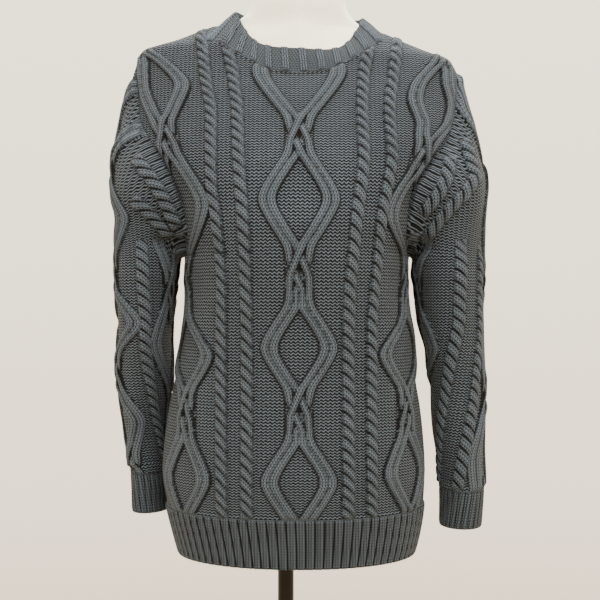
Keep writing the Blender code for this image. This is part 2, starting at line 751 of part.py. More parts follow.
def seam_shift(outer, inside, towards, gap):
    """Steps that carry a closed seam's row off its neighbour, square to the edge that the two share."""
    tangent = np.roll(outer, -1, axis=0) - np.roll(outer, 1, axis=0)
    across = unit(np.cross(tangent, inside - outer))
    return gap * across * np.sign(across @ np.array(towards, float))[:, None]


def join_seam(wall, outer, inside, half, first_half_runs_on):
    """Faces across a closed seam, split the same way as those of the two panels that it meets."""
    for run, runs_on in ((range(half), first_half_runs_on), (range(half, len(outer)), not first_half_runs_on)):
        for at in run:
            after = (at + 1) % len(outer)
            if runs_on:
                wall.faces += [(outer[at], inside[at], outer[after]), (outer[after], inside[at], inside[after])]
            else:
                wall.faces += [(inside[at], outer[at], inside[after]), (inside[after], outer[at], outer[after])]


def armhole_loop(side, front, back):
    """The armhole's points in order: from the shoulder down the front and up the back."""
    column = 0 if side < 0 else -1
    last = len(UPPER_ROWS) - 1
    return np.concatenate([front[: last + 1, column], back[last - 1:0:-1, column]])


def sleeve(side, front, back, front_inside, back_inside):
    """One sleeve as a tube from its armhole to its cuff. Returns its last rings, where the cuff begins."""
    name = "sleeve_left" if side < 0 else "sleeve_right"
    seam = armhole_loop(side, front, back)
    seam_inside = armhole_loop(side, front_inside, back_inside)
    last = len(UPPER_ROWS) - 1
    halves = (seam[: last + 1], np.concatenate([seam[last:], seam[:1]])[::-1])
    measured = []
    for half in halves:
        length = np.concatenate([[0], np.cumsum(np.linalg.norm(np.diff(half, axis=0), axis=1))])
        measured.append(length / length[-1])
    seam_at = np.concatenate([measured[0] / 2, 1 - measured[1][::-1][1:-1] / 2])
    shares, shares_at = sleeve_shares(side)

    def seam_point(share):
        half, at = (halves[0], measured[0]) if share >= 0 else (halves[1], measured[1])
        return np.array([np.interp(abs(share), at, half[:, axis]) for axis in range(3)])

    end = sleeve_ring(side, CAP_LEVEL, shares)
    rings = [
        np.array([cap_point(seam_point(share), end[column], share, side, step)
                  for column, share in enumerate(shares)])
        for step in CAP_STEPS
    ]
    low = CUFF_LEVELS[side][1]
    count = round((CAP_LEVEL - low) / SLEEVE_STEP)
    heights = np.linspace(CAP_LEVEL, low, count + 1)[1:]
    rings += [sleeve_ring(side, height, shares) for height in heights]
    rows = np.array(rings)
    normals = grid_normals(rows)
    push = np.zeros(rows.shape[:2])
    for fold_side, face, share, height, share_spread, height_spread, out in SLEEVE_FOLDS:
        if fold_side != side:
            continue
        away = np.abs(shares) - share if face == 0 else shares * -face - share
        push += out * np.exp(-(away[None, :] / share_spread) ** 2
                             - ((rows[..., 2] - height) / height_spread) ** 2)
    push[0] = 0
    push[1] *= SECOND_RING_PUSH
    base = rows + normals * push[..., None]
    raised = np.zeros(rows.shape[:2])
    lifts = np.concatenate([[0], SLEEVE_COLUMNS[:, 1], [0], SLEEVE_COLUMNS[::-1, 1]])
    raised[len(CAP_STEPS) - CAP_RAISED_ROWS:] = lifts
    for step, outer_share in CAP_ROPES:
        row = min(range(len(CAP_STEPS)), key=lambda at: abs(CAP_STEPS[at] - step))
        raised[row] = (np.abs(shares) > outer_share) & (np.abs(shares) < CAP_ROPE_END)
    raised[-1] = 0
    outer = base + normals * (CABLE_RELIEF * raised)[..., None]
    inside = base - normals * WALL

    wall = Wall()
    shift = seam_shift(seam, seam_inside, (side, 0, 0), SEAM_GAP)
    first, first_inside = wall.row(seam + shift), wall.row(seam_inside + shift)
    outside = [wall.row(ring) for ring in outer]
    wall.join(first, outside[0], seam_at, shares_at, closed=True)
    for upper, lower in zip(outside, outside[1:]):
        wall.join(upper, lower, shares_at, shares_at, closed=True)
    join_seam(wall, first, first_inside, last, side > 0)
    pick = SLEEVE_INSIDE_COLUMNS
    picked = [*CAP_INSIDE_ROWS, *range(len(CAP_STEPS) - 1, len(rows) - 1, SLEEVE_INSIDE_STEP)]
    rings_inside = [wall.row(inside[row][list(pick)]) for row in picked]
    last_inside = wall.row(inside[-1])
    wall.join(first_inside, rings_inside[0], seam_at, shares_at[list(pick)], closed=True)
    for upper, lower in zip(rings_inside, rings_inside[1:]):
        wall.join(upper, lower, shares_at[list(pick)], shares_at[list(pick)], closed=True)
    wall.join(rings_inside[-1], last_inside, shares_at[list(pick)], shares_at, closed=True)
    wall.join(outside[-1], last_inside, shares_at, shares_at, closed=True)
    wall.finish(name, COTTON)
    return outer[-1], inside[-1], shares_at


def rib_places(ribs, outline):
    """Places (0 to 1) of every column of a ribbed edge, and which of them are raised."""
    pitch = 1 / ribs
    places = np.array([(rib + share) * pitch for rib in range(ribs) for share, _ in outline])
    return places, np.array([lift for _ in range(ribs) for _, lift in outline])


def along(points, places):
    """Points at given shares of the length of a row of points."""
    length = np.concatenate([[0], np.cumsum(np.linalg.norm(np.diff(points, axis=0), axis=1))])
    at = np.asarray(places) * length[-1]
    return np.stack([np.interp(at, length, points[:, axis]) for axis in range(3)], axis=1)


def places_of(points):
    length = np.concatenate([[0], np.cumsum(np.linalg.norm(np.diff(points, axis=0), axis=1))])
    return length / length[-1]


def level_curve(height, back):
    """The body's outline at one level, from its left side seam to its right, on the smooth surface."""
    x, _ = section(height, back)
    return body_point(x, np.full(len(x), float(height)), back)


def hem(back, seam, seam_inside):
    """The ribbed hem of the front or the back: from the panel's lowest row down to the sweater's lower edge."""
    shift = np.array([0, SEAM_GAP if back else 0, 0])
    drop = np.array([0, 0, -SEAM_GAP])
    places, lifts = rib_places(HEM_RIBS, HEM_RIB)
    places, lifts = np.append(places, 1.0), np.append(lifts, 0)
    places[0] = 0.0
    inner_places = np.linspace(0, 1, HEM_INSIDE)
    seam_at = places_of(seam)
    wall = Wall()
    heights = (RIB_LEVEL - RIB_START, HEM_LEVEL)
    rows, rows_inside = [], []
    for height in heights:
        curve = level_curve(height, back)
        base = along(curve, places)
        normals = body_normal(base, back)
        rows.append(base + normals * (RIB_RELIEF * lifts)[:, None] + shift)
        inner = along(curve, inner_places)
        rows_inside.append(inner + body_normal(inner, back) * -WALL + shift)
    top, top_inside = wall.row(seam + drop), wall.row(seam_inside + drop)
    outside = [wall.row(row) for row in rows]
    inside = [wall.row(row) for row in rows_inside]
    wall.join(top, outside[0], seam_at, places)
    wall.join(top_inside, inside[0], seam_at, inner_places)
    for upper, lower in zip(outside, outside[1:]):
        wall.join(upper, lower, places, places)
    for upper, lower in zip(inside, inside[1:]):
        wall.join(upper, lower, inner_places, inner_places)
    wall.join(top, top_inside, seam_at, seam_at)
    wall.join(outside[-1], inside[-1], places, inner_places)
    for end in (0, -1):
        side_out = [top[end]] + [row[end] for row in outside]
        side_in = [top_inside[end]] + [row[end] for row in inside]
        wall.join(side_out, side_in)
    wall.finish("hem_back" if back else "hem_front", COTTON)


def cuff(side, seam, seam_inside, seam_at):
    """The ribbed cuff: a tube from the sleeve's last ring down to the sleeve's lower edge."""
    low, high = CUFF_LEVELS[side]
    drop = np.array([0, 0, -SEAM_GAP])
    places, lifts = rib_places(CUFF_RIBS, HEM_RIB)
    inner_places = np.arange(CUFF_INSIDE) / CUFF_INSIDE
    wall = Wall()
    rows, rows_inside = [], []
    for height in (high - RIB_START, low):
        for at, lift, into, offset in ((places, RIB_RELIEF * lifts, rows, 0), (inner_places, 0, rows_inside, -WALL)):
            ring = sleeve_ring(side, height, np.where(at <= 0.5, 2 * at, 2 * at - 2))
            normals = grid_normals(np.stack([ring, ring - np.array([0, 0, 1.0])]))[0]
            into.append(ring + normals * np.reshape(lift + offset, (-1, 1)))
    top, top_inside = wall.row(seam + drop), wall.row(seam_inside + drop)
    outside, inside = [wall.row(row) for row in rows], [wall.row(row) for row in rows_inside]
    wall.join(top, outside[0], seam_at, places, closed=True)
    wall.join(top_inside, inside[0], seam_at, inner_places, closed=True)
    for upper, lower in zip(outside, outside[1:]):
        wall.join(upper, lower, closed=True)
    for upper, lower in zip(inside, inside[1:]):
        wall.join(upper, lower, closed=True)
    wall.join(top, top_inside, seam_at, seam_at, closed=True)
    wall.join(outside[-1], inside[-1], places, inner_places, closed=True)
    wall.finish("cuff_left" if side < 0 else "cuff_right", COTTON)


def neck_top(back):
    """The neckband's upper edge from its left end to its right, over the front or the back."""
    peak = int(np.argmax(NECK_TOP[:, 0]))
    half = NECK_TOP[peak:] if back else NECK_TOP[: peak + 1][::-1]
    left = half * np.array([-1, 1, 1])
    right = half[::-1][1:]
    curve = np.concatenate([left, right])
    curve[:, 2] -= NECK_TILT * curve[:, 0]
    return smooth_row(curve)


def smooth_row(points):
    """The same row of points, denser and rounded."""
    at = places_of(points)
    fine = np.linspace(0, 1, NECK_TOP_DENSER * len(points))
    return np.stack([level(np.stack([at, points[:, axis]], axis=1), fine, 1) for axis in range(3)], axis=1)


def neckband(front, back, front_inside, back_inside):
    """The ribbed neckband: a tube from the neck seam up to the sweater's upper edge."""
    first, last = NECK_FROM_EDGE, front.shape[1] - 1 - NECK_FROM_EDGE
    seam_front, seam_back = front[0, first:last + 1], back[0, first:last + 1][::-1]
    inside_front, inside_back = front_inside[0, first:last + 1], back_inside[0, first:last + 1][::-1]
    seam = np.concatenate([seam_front, seam_back])
    seam_inside = np.concatenate([inside_front, inside_back])
    seam_at = np.concatenate([
        places_of(seam_front) / 2 * NECK_HALF_END,
        0.5 + places_of(seam_back) / 2 * NECK_HALF_END,
    ])
    places, lifts = rib_places(NECK_RIBS, NECK_RIB)
    inner_places = np.arange(NECK_INSIDE) / NECK_INSIDE
    top_front, top_back = neck_top(False), neck_top(True)[::-1]

    def curve_point(lower_row, upper_row, at, share):
        half = int(at >= 0.5)
        lower_half, upper_half = lower_row[half], upper_row[half]
        low = along(lower_half, [2 * at % 1.0])[0]
        high = along(upper_half, [2 * at % 1.0])[0]
        return low + (high - low) * share

    lower, upper = (seam_front, seam_back), (top_front, top_back)
    rows, rows_inside = [], []
    levels = [(share, places, min(2 * share, 1) * RIB_RELIEF * lifts, rows) for share in NECK_SHARES]
    levels += [(share, inner_places, -WALL, rows_inside) for share in NECK_INSIDE_SHARES]
    for share, at, out, into in levels:
        ring, above = (
            np.array([curve_point(lower, upper, place, step) for place in at])
            for step in (share, share + NECK_LOOK_UP)
        )
        normals = grid_normals(np.stack([ring, above]))[0]
        bow = NECK_BOW * math.sin(math.pi * share)
        into.append(ring + normals * np.reshape(bow + out, (-1, 1)))
    wall = Wall()
    shift = seam_shift(seam, seam_inside, (0, 0, 1), NECK_GAP)
    first_row, first_inside = wall.row(seam + shift), wall.row(seam_inside + shift)
    outside, inside = [wall.row(row) for row in rows], [wall.row(row) for row in rows_inside]
    wall.join(first_row, outside[0], seam_at, places, closed=True)
    wall.join(first_inside, inside[0], seam_at, inner_places, closed=True)
    for low, high in zip(outside, outside[1:]):
        wall.join(low, high, closed=True)
    for low, high in zip(inside, inside[1:]):
        wall.join(low, high, closed=True)
    join_seam(wall, first_row, first_inside, len(seam_front), True)
    wall.join(outside[-1], inside[-1], places, inner_places, closed=True)
    wall.finish("neckband", COTTON)


def form_ring(height):
    """Points round the dress form at one level; its shoulders follow the inside of the cloth that they carry."""
    left, right, front, back, power = (float(level(FORM_LEVELS, height, column)) for column in range(1, 6))
    if FORM_SHOULDER[0] < height < FORM_SHOULDER[1]:
        left = min(left, float(level(BODY_LEVELS, height + FORM_DROP, 1)))
        right = min(right, float(level(BODY_LEVELS, height + FORM_DROP, 2)))
    angle = np.arange(FORM_SIDES) * 2 * math.pi / FORM_SIDES
    x = np.sign(np.cos(angle)) * np.abs(np.cos(angle)) ** (2 / power)
    y = np.sign(np.sin(angle)) * np.abs(np.sin(angle)) ** (2 / power)
    return np.stack([x * np.where(x < 0, left, right), y * np.where(y < 0, front, back),
                     np.full(FORM_SIDES, float(height))], axis=1)


def turned(name, profile, sides):
    """A round solid of the stand from rows of (radius, height), closed flat at both ends."""
    wall = Wall()
    angle = np.arange(sides) * 2 * math.pi / sides
    rings = []
    for radius, height in profile:
        x, y = radius * np.cos(angle) - GARMENT_SHIFT, radius * np.sin(angle)
        rings.append(wall.row(np.stack([x, y, np.full(sides, float(height))], axis=1)))
    close_rings(wall, rings)
    wall.finish(name, POLE_BROWN, POLE_ROUGHNESS, smooth=True)


def close_rings(wall, rings):
    for low, high in zip(rings, rings[1:]):
        wall.join(low, high, closed=True)
    for ring in (rings[0], rings[-1]):
        wall.faces += [(ring[0], ring[at], ring[at + 1]) for at in range(1, len(ring) - 1)]


def dress_form():
    wall = Wall()
    close_rings(wall, [wall.row(form_ring(height)) for height in FORM_RINGS])
    wall.finish("form_torso", FORM_CREAM, FORM_ROUGHNESS, smooth=True)
    pole = (
        (POLE_RADIUS, BASE_HEIGHT + FIT),
        (POLE_RADIUS, FORM_LEVELS[0, 0] - FIT),
    )
    turned("form_pole", pole, POLE_SIDES)
    cut = BEVEL_MIDDLE * BASE_BEVEL
    base = (
        (BASE_RADIUS, 0),
        (BASE_RADIUS, BASE_HEIGHT - BASE_BEVEL),
        (BASE_RADIUS - cut, BASE_HEIGHT - cut),
        (BASE_RADIUS - BASE_BEVEL, BASE_HEIGHT),
    )
    turned("form_base", base, BASE_SIDES)


def main():
    for item in list(bpy.data.objects):
        bpy.data.objects.remove(item)
    front, front_inside = body_panel(False)
    back, back_inside = body_panel(True)
    open_wall("front", front, front_inside, INSIDE_ROWS, INSIDE_COLUMNS)
    open_wall("back", back, back_inside, INSIDE_ROWS, INSIDE_COLUMNS)
    for side in (-1, 1):
        cuff(side, *sleeve(side, front, back, front_inside, back_inside))
    hem(False, front[-1], front_inside[-1])
    hem(True, back[-1], back_inside[-1])
    neckband(front, back, front_inside, back_inside)
    dress_form()


main()
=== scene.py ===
# %% [markdown]
# # Cable knit sweater on a dress form
# The solids of this part already have the sweater's size and its main folds. This script dresses them: it
# knits the cables, ribs and stitches, covers the dress form, and sets the light and the camera. Sizes are in
# millimetres, heights are measured from the floor, and left and right are as seen from the front.

import math

import bmesh
import bpy
import numpy as np
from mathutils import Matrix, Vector


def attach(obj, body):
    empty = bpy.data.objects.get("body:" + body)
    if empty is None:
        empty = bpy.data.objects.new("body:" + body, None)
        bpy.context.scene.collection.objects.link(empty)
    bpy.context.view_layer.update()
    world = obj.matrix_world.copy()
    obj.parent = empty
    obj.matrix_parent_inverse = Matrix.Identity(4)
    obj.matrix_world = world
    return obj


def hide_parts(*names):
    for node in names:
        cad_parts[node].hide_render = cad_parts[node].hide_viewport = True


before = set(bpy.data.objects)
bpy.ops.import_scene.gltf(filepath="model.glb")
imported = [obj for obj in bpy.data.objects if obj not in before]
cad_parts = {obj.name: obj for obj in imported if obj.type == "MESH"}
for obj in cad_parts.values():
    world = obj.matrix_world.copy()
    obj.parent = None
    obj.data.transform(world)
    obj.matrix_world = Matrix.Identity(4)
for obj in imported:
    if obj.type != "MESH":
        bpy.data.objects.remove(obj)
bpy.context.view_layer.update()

# %% [markdown]
# ## Sizes
# Knitted cloth is shaped by its number of stitches at each level. It could be draped over the form by a
# simulation, but heavy cables would blur. So this script works as a knitter does, from a chart: each table
# has a row for each level, and the surface between two rows is a smooth curve. The tables of the body, the
# seams and the sleeves are those of the solids, so that the finer cloth lies on them. A side of -1 is the
# left one, 1 the right.

# %% Sizes of the cloth
MM = 0.001
# The garment's middle, from which every x is measured, lies this far to the right of the pole
GARMENT_SHIFT = 16.0
WALL, SEAM_GAP = 3.2, 0.4
HEM_LEVEL, RIB_LEVEL, UNDERARM_LEVEL = 757.0, 815.0, 1107.0
SHOULDER_CORNER = {-1: 1342.0, 1: 1331.0}
print("body from", HEM_LEVEL, "to", SHOULDER_CORNER[-1], "mm high, cloth", WALL, "mm thick")

# %% Levels of the body
BODY_LEVELS = np.array([
    # height, left half-width, right half-width, front depth, back depth
    (757, 143, 137, 104, 98),
    (786, 151, 144, 110, 104),
    (815, 158, 148, 117, 108),
    (858, 165, 150, 121, 106),
    (894, 162, 148, 120, 102),
    (931, 156, 144, 118, 98),
    (961, 149, 139, 117, 95),
    (1017, 139, 134, 120, 90),
    (1062, 136, 130, 125, 89),
    (1107, 134, 128, 130, 91),
    (1135, 147, 141, 130, 94),
    (1163, 165, 158, 124, 97),
    (1203, 188, 181, 113, 98),
    (1246, 206, 199, 97, 94),
    (1294, 203, 196, 78, 84),
    (1316, 200, 192, 68, 78),
    (1331, 197, 187, 62, 71),
    (1342, 193, 179, 58, 66),
    (1353, 187, 151, 54, 60),
    (1365, 150, 122, 49, 54),
    (1377, 118, 96, 44, 47),
    (1389, 84, 72, 38, 40),
    (1401, 50, 46, 30, 32),
], float)
print(len(BODY_LEVELS), "levels, widest", BODY_LEVELS[:, 1].max() + BODY_LEVELS[:, 2].max(), "mm")

# %% [markdown]
# ## Seams
# The sleeve is sewn into the armhole and the neckband is linked on round the neck. Both seams are drawn as
# seen from the front, since that is how a pattern maker checks them, and the cloth is then cut off along
# them.

# %% Seams of the armhole and the neck
ARMHOLE = np.array([
    # height, how far the left seam and the right seam lie from the middle
    (1107, 134, 128),
    (1115, 130, 125),
    (1130, 130, 125),
    (1150, 134, 128),
    (1180, 143, 135),
    (1212, 154, 150),
    (1240, 171, 170),
    (1265, 184, 179),
    (1303, 189, 185),
    (1331, 193, 187),
    (1342, 193, 179),
], float)
NECK_SEAM = np.array([
    # distance from the middle, front height, back height
    (0, 1316, 1374),
    (16, 1317, 1374),
    (32, 1319, 1374.5),
    (46, 1325, 1375.5),
    (62, 1334, 1376.5),
    (75, 1343, 1376),
    (86, 1351, 1376.5),
    (92, 1356, 1377),
], float)
NECK_CORNER_X, NECK_TILT = 93.0, 0.055
print("armhole", ARMHOLE[-1, 0] - ARMHOLE[0, 0], "mm deep; neck", 2 * NECK_CORNER_X, "mm wide")

# %% [markdown]
# ## Folds of the body
# Worn cloth dips where it has slack. Each soft dip is one bell-shaped push along the surface, given in a
# table: that is quicker than a simulation, and it is the same on every run.

# %% Soft folds of the body
BODY_FOLDS = (
    # side, y, height, y spread, height spread, push out
    (-1, 28, 872, 34, 62, -13),
    (-1, -70, 1070, 26, 30, -3),
    (1, -62, 1062, 22, 34, -4),
    (-1, 60, 1060, 30, 40, -4),
    (1, 60, 1060, 30, 40, -4),
    (-1, 0, 1055, 60, 60, -3),
    (1, 0, 1080, 60, 30, -3),
)
# A fold reaches no nearer to the middle than this
FOLD_REACH = 60.0
print(len(BODY_FOLDS), "folds on the body")

# %% [markdown]
# ## Reading a table
# A straight line between two rows would show as a crease in the cloth. The curve used here has a continuous
# slope and never overshoots its rows, so no level comes out wider than its neighbours in the table.

# %% Read a table at any height


def level(table, height, column):
    """One column of a table, read at any height on a smooth curve that doesn't overshoot its rows."""
    rows, values = table[:, 0], table[:, column]
    span = np.diff(rows)
    slope = np.diff(values) / span
    tangent = np.zeros_like(values)
    same = slope[:-1] * slope[1:] > 0
    total = np.where(same, slope[:-1] + slope[1:], 1)
    tangent[1:-1] = np.where(same, 2 * slope[:-1] * slope[1:] / total, 0)
    tangent[0], tangent[-1] = slope[0], slope[-1]
    height = np.clip(np.asarray(height, float), rows[0], rows[-1])
    at = np.clip(np.searchsorted(rows, height, side="right") - 1, 0, len(span) - 1)
    t = (height - rows[at]) / span[at]
    return (
        (2 * t**3 - 3 * t**2 + 1) * values[at]
        + (t**3 - 2 * t**2 + t) * span[at] * tangent[at]
        + (3 * t**2 - 2 * t**3) * values[at + 1]
        + (t**3 - t**2) * span[at] * tangent[at + 1]
    )


def unit(vectors):
    return vectors / np.maximum(np.linalg.norm(vectors, axis=-1, keepdims=True), 1e-9)


def ease(share):
    """0 below 0, 1 above 1, and a smooth step between them."""
    share = np.clip(share, 0, 1)
    return share * share * (3 - 2 * share)


print("half-width under the arms", float(level(BODY_LEVELS, UNDERARM_LEVEL, 1)), "mm")

# %% [markdown]
# ## Body of the sweater
# A level of the body is close to an oval. A tape measure laid along the cloth from the middle of the front
# tells where each stitch lies, so the oval is measured once at every millimetre of height. Each column of
# the finer cloth then keeps its place along that tape.

# %% Measure the body along the cloth
HEIGHTS = np.arange(756.0, 1402.0)
SHARES = np.linspace(-1, 1, 321)
# A power of 2 would make each level an ellipse; a little more fills it out at its corners
SECTION_POWER = 2.1


def body_width(x, height):
    return np.where(x < 0, level(BODY_LEVELS, height, 1), level(BODY_LEVELS, height, 2))


def body_normal(points, back):
    """Outward directions of the body's smooth surface at points on it."""
    x, y, height = points[..., 0], points[..., 1], points[..., 2]
    column = 4 if back else 3
    width, depth = body_width(x, height), level(BODY_LEVELS, height, column)
    width_slope = (body_width(x, height + 0.5) - body_width(x, height - 0.5)) / width
    depth_slope = (level(BODY_LEVELS, height + 0.5, column) - level(BODY_LEVELS, height - 0.5, column)) / depth
    across, through = np.clip(np.abs(x) / width, 0, 1), np.clip(np.abs(y) / depth, 0, 1)
    return unit(np.stack([
        np.sign(x) * across ** (SECTION_POWER - 1) / width,
        np.sign(y) * through ** (SECTION_POWER - 1) / depth,
        -across**SECTION_POWER * width_slope - through**SECTION_POWER * depth_slope,
    ], axis=-1))


def measure_body(back):
    """x and y at even shares of the way along each level, each side's length, and the raw outlines."""
    turn = np.radians(np.linspace(-90, 90, 721))
    middle = len(turn) // 2
    rows = {"x": [], "y": [], "left": [], "right": [], "outline": []}
    for height in HEIGHTS:
        x = np.sign(turn) * np.abs(np.sin(turn)) ** (2 / SECTION_POWER) * body_width(turn, height)
        y = float(level(BODY_LEVELS, height, 4 if back else 3)) * np.cos(turn) ** (2 / SECTION_POWER)
        length = np.concatenate([[0], np.cumsum(np.hypot(np.diff(x), np.diff(y)))])
        length -= length[middle]
        at = np.where(SHARES < 0, -SHARES * length[0], SHARES * length[-1])
        rows["x"].append(np.interp(at, length, x))
        rows["y"].append(np.interp(at, length, y if back else -y))
        rows["left"].append(-length[0])
        rows["right"].append(length[-1])
        rows["outline"].append((x, length))
    return {name: values if name == "outline" else np.array(values) for name, values in rows.items()}


BODY = {back: measure_body(back) for back in (False, True)}
print("measured", len(HEIGHTS), "levels, front and back")

# %% Find a place on the cloth


def read(table, height, share):
    """A value of a table that has a row for each of HEIGHTS and a column for each of SHARES."""
    row = np.clip(height - HEIGHTS[0], 0, len(HEIGHTS) - 1.001)
    column = np.clip((share + 1) / 2 * (len(SHARES) - 1), 0, len(SHARES) - 1.001)
    r, c = row.astype(int), column.astype(int)
    down, over = row - r, column - c
    upper = table[r, c] * (1 - over) + table[r, c + 1] * over
    lower = table[r + 1, c] * (1 - over) + table[r + 1, c + 1] * over
    return upper * (1 - down) + lower * down


def cloth_point(along, height, back):
    """The body's point at a length along the cloth from its middle."""
    body = BODY[back]
    left, right = (np.interp(height, HEIGHTS, body[name]) for name in ("left", "right"))
    share = along / np.where(along < 0, left, right)
    return np.stack([read(body["x"], height, share), read(body["y"], height, share), height], axis=-1)


def along_at(x_at_heights, back):
    """Length along the cloth, at each of HEIGHTS, of a line given by its x at each of them."""
    found = []
    for x, (outline_x, length) in zip(x_at_heights, BODY[back]["outline"]):
        inside = min(max(x, outline_x[0]), outline_x[-1])
        found.append(float(np.interp(inside, outline_x, length)) + x - inside)
    return np.array(found)


half_chest = float(np.interp(1163, HEIGHTS, BODY[False]["left"]))
print("cloth across the front at the chest", round(half_chest), "mm a side")

# %% [markdown]
# ## Wales and courses
# A column of stitches is a wale, and a row is a course. Heavy cloth hangs longer where it carries more
# weight, so a course is taller below the bust than at the shoulders. Counting the courses by height, and not
# repeating one tile, gives the stitches this drift.

# %% Wales and courses
BODY_COURSES = np.array([
    # height, height of one course there: the heavy cloth is pulled longest just below the bust
    (750, 2.95),
    (815, 2.95),
    (886, 3.30),
    (941, 3.50),
    (1050, 3.70),
    (1160, 3.87),
    (1188, 4.00),
    (1216, 3.30),
    (1245, 2.90),
    (1290, 2.75),
    (1410, 2.75),
], float)
SLEEVE_COURSE, RIB_COURSE = 3.45, 3.2
# Width of a wale on the cables, and of a bar of the ground, which shows its reverse side
WALE, PURL_PITCH = 3.3, 5.1


def body_course(height):
    """Number of courses below a height of the body."""
    fine = np.arange(BODY_COURSES[0, 0], BODY_COURSES[-1, 0])
    counted = np.cumsum(1 / np.interp(fine, BODY_COURSES[:, 0], BODY_COURSES[:, 1]))
    return np.interp(height, fine, counted)


print("courses between the hem and the shoulder", round(float(body_course(1342) - body_course(RIB_LEVEL))))

# %% [markdown]
# ## Cables
# A cable is knitted by swapping groups of stitches on the needle, so one group of wales passes in front of
# another. Each group is a round strand on the cloth. The strands could be separate curves laid on the cloth,
# but their edges would float above it or sink in. So a strand is worked out as a rounded ridge of the cloth
# itself, and the highest strand is the one that shows, just as on the needle. The dark lines between strands
# are painted shade, kept as a value of their own, because the shader needs them too.

# %% What is knitted at each point
# A strand of three wales, and how wide its shade falls on the ground beside it
STRAND_WALES, EDGE_SHADE_WIDTH = 3, 2.2


class Stitches:
    """What is knitted at each point: how far it stands out, its stitch, and the painted shade of grooves on it.
    """

    def __init__(self, along, height, course):
        shape = np.shape(height)
        self.along, self.height, self.course = along, height, course
        self.relief, self.groove_shade = np.zeros(shape), np.zeros(shape)
        self.across_strand, self.down_strand, self.knit = np.zeros(shape), np.zeros(shape), np.zeros(shape)

    def shade_beside(self, outside, shade):
        """Paints shade on the ground beside a cable, given how far outside the cable each point lies."""
        near = shade * (1 - ease(outside / EDGE_SHADE_WIDTH)) * (outside > 0)
        self.groove_shade = np.where(self.relief > 0, self.groove_shade, np.maximum(self.groove_shade, near))

    def lay(self, relief, groove_shade, across_strand, down_strand):
        """Lays a strand over what is there, where it stands higher."""
        above = relief > self.relief
        for name, value in (("relief", relief), ("groove_shade", groove_shade), ("across_strand", across_strand),
                            ("down_strand", down_strand), ("knit", np.ones(np.shape(relief)))):
            setattr(self, name, np.where(above, value, getattr(self, name)))


print("plain ground is recorded as", vars(Stitches(0.0, 0.0, 0.0)))

# %% A strand's round top
# Where the painted shade on a strand's edge begins, as a share of its half-width
STRAND_EDGE = 0.76


def ridge(across, half):
    """A rounded strand with a broad, flat top: its height from 0 to 1, and how near its edge a point lies."""
    q = np.abs(across) / half
    return np.sqrt(np.clip(1 - q**4, 0, 1)), ease((q - STRAND_EDGE) / (1 - STRAND_EDGE))


print("a strand is", STRAND_WALES * WALE, "mm wide where it lies flat")

# %% [markdown]
# ## Ropes
# A rope is two strands that cross every fourth course, always the same way, so it looks like twisted cord.
# Two curves wound round each other would do, but then each rope needs seams with its cloth. Here each
# crossing is a slanted step on a straight ridge, so the rope stays one piece with its cloth and needs no
# points of its own.

# %% Lay a rope
ROPE_WIDTH, ROPE_HEIGHT = 15.0, 5.2
# Courses between two crossings, and how far a strand falls from the rope's left edge to its right one
ROPE_COURSES, ROPE_DROP = 4.0, 14.5
# Half-width between two steps and how much a step adds to it, on the left and on the right
ROPE_LEFT, ROPE_RIGHT = (0.76, 0.26), (0.92, 0.08)
# Height that is left in the valley between two steps, and where its painted shade begins and how wide it is
ROPE_VALLEY, VALLEY_START, VALLEY_WIDTH = 0.2, 0.33, 0.15
# The painted shade fades towards the right edge, most on the upper body: heights, and shares that are lost
VALLEY_FADE_HEIGHTS, VALLEY_FADE = (1130, 1230), (0.35, 0.8)
FADE_START, FADE_WIDTH = 0.4, 0.35
# Painted shade on a rope's edges and on the ground beside it, and how far inside the rope's edge that shade
# begins
ROPE_EDGE_SHADE, ROPE_SHADE, ROPE_SHADE_IN = 0.35, 0.5, 1.0


def lay_rope(cloth, across, phase, course_height):
    """Two strands twisted round each other, which show as slanted steps from upper left to lower right."""
    q = across / (ROPE_WIDTH / 2)
    share = np.clip((q + 1) / 2, 0, 1)
    # A strand leaves the left edge slowly and then falls faster
    fallen = ROPE_DROP / course_height * share * (0.5 + 0.5 * share)
    turn = (phase - cloth.course - fallen) / ROPE_COURSES
    within = turn - np.floor(turn) - 0.5
    step = ridge(within, 0.5)[0]
    # Painted shade in the valley between steps, fading towards the right edge
    fade = np.interp(cloth.height, VALLEY_FADE_HEIGHTS, VALLEY_FADE) * ease((share - FADE_START) / FADE_WIDTH)
    step_shade = ease((np.abs(within) - VALLEY_START) / VALLEY_WIDTH) * (1 - fade)
    # Each step bulges out at its upper left end, where the strand comes up from behind
    q = np.where(q < 0, q / (ROPE_LEFT[0] + ROPE_LEFT[1] * step), q / (ROPE_RIGHT[0] + ROPE_RIGHT[1] * step))
    sides, side_shade = ridge(q, 1.0)
    relief = np.where(np.abs(q) < 1, ROPE_HEIGHT * sides * (ROPE_VALLEY + (1 - ROPE_VALLEY) * step), 0)
    # Painted shade on the ground beside the rope, and on its edges and valleys
    cloth.shade_beside(np.abs(across) - ROPE_WIDTH / 2 + ROPE_SHADE_IN, ROPE_SHADE)
    cloth.lay(relief, np.maximum(step_shade, ROPE_EDGE_SHADE * side_shade), within * STRAND_WALES + 0.5,
              (across / WALE - cloth.course) / math.sqrt(2))


print("a rope is", ROPE_WIDTH, "mm wide and turns every", ROPE_COURSES, "courses")

# %% [markdown]
# ## Parting cables
# The wide cable is an ogee: two bands part, run apart in straight slants, turn in a rounded corner and meet
# again. One formula between the tips of an opening gives that path at any height. It is written for the
# whole cable at once, so that the same lines serve the centre, the sides and the sleeves.

# %% How far apart the bands lie
# Half the width of a strand, and how far a band's middle lies from the axis where the bands touch
STRAND_HALF, TOUCHING = 5.0, 5.0
# Roundness of an opening's side corners, and the length over which a tip closes
OPENING_CORNER, TIP_LENGTH = 0.25, 8.0


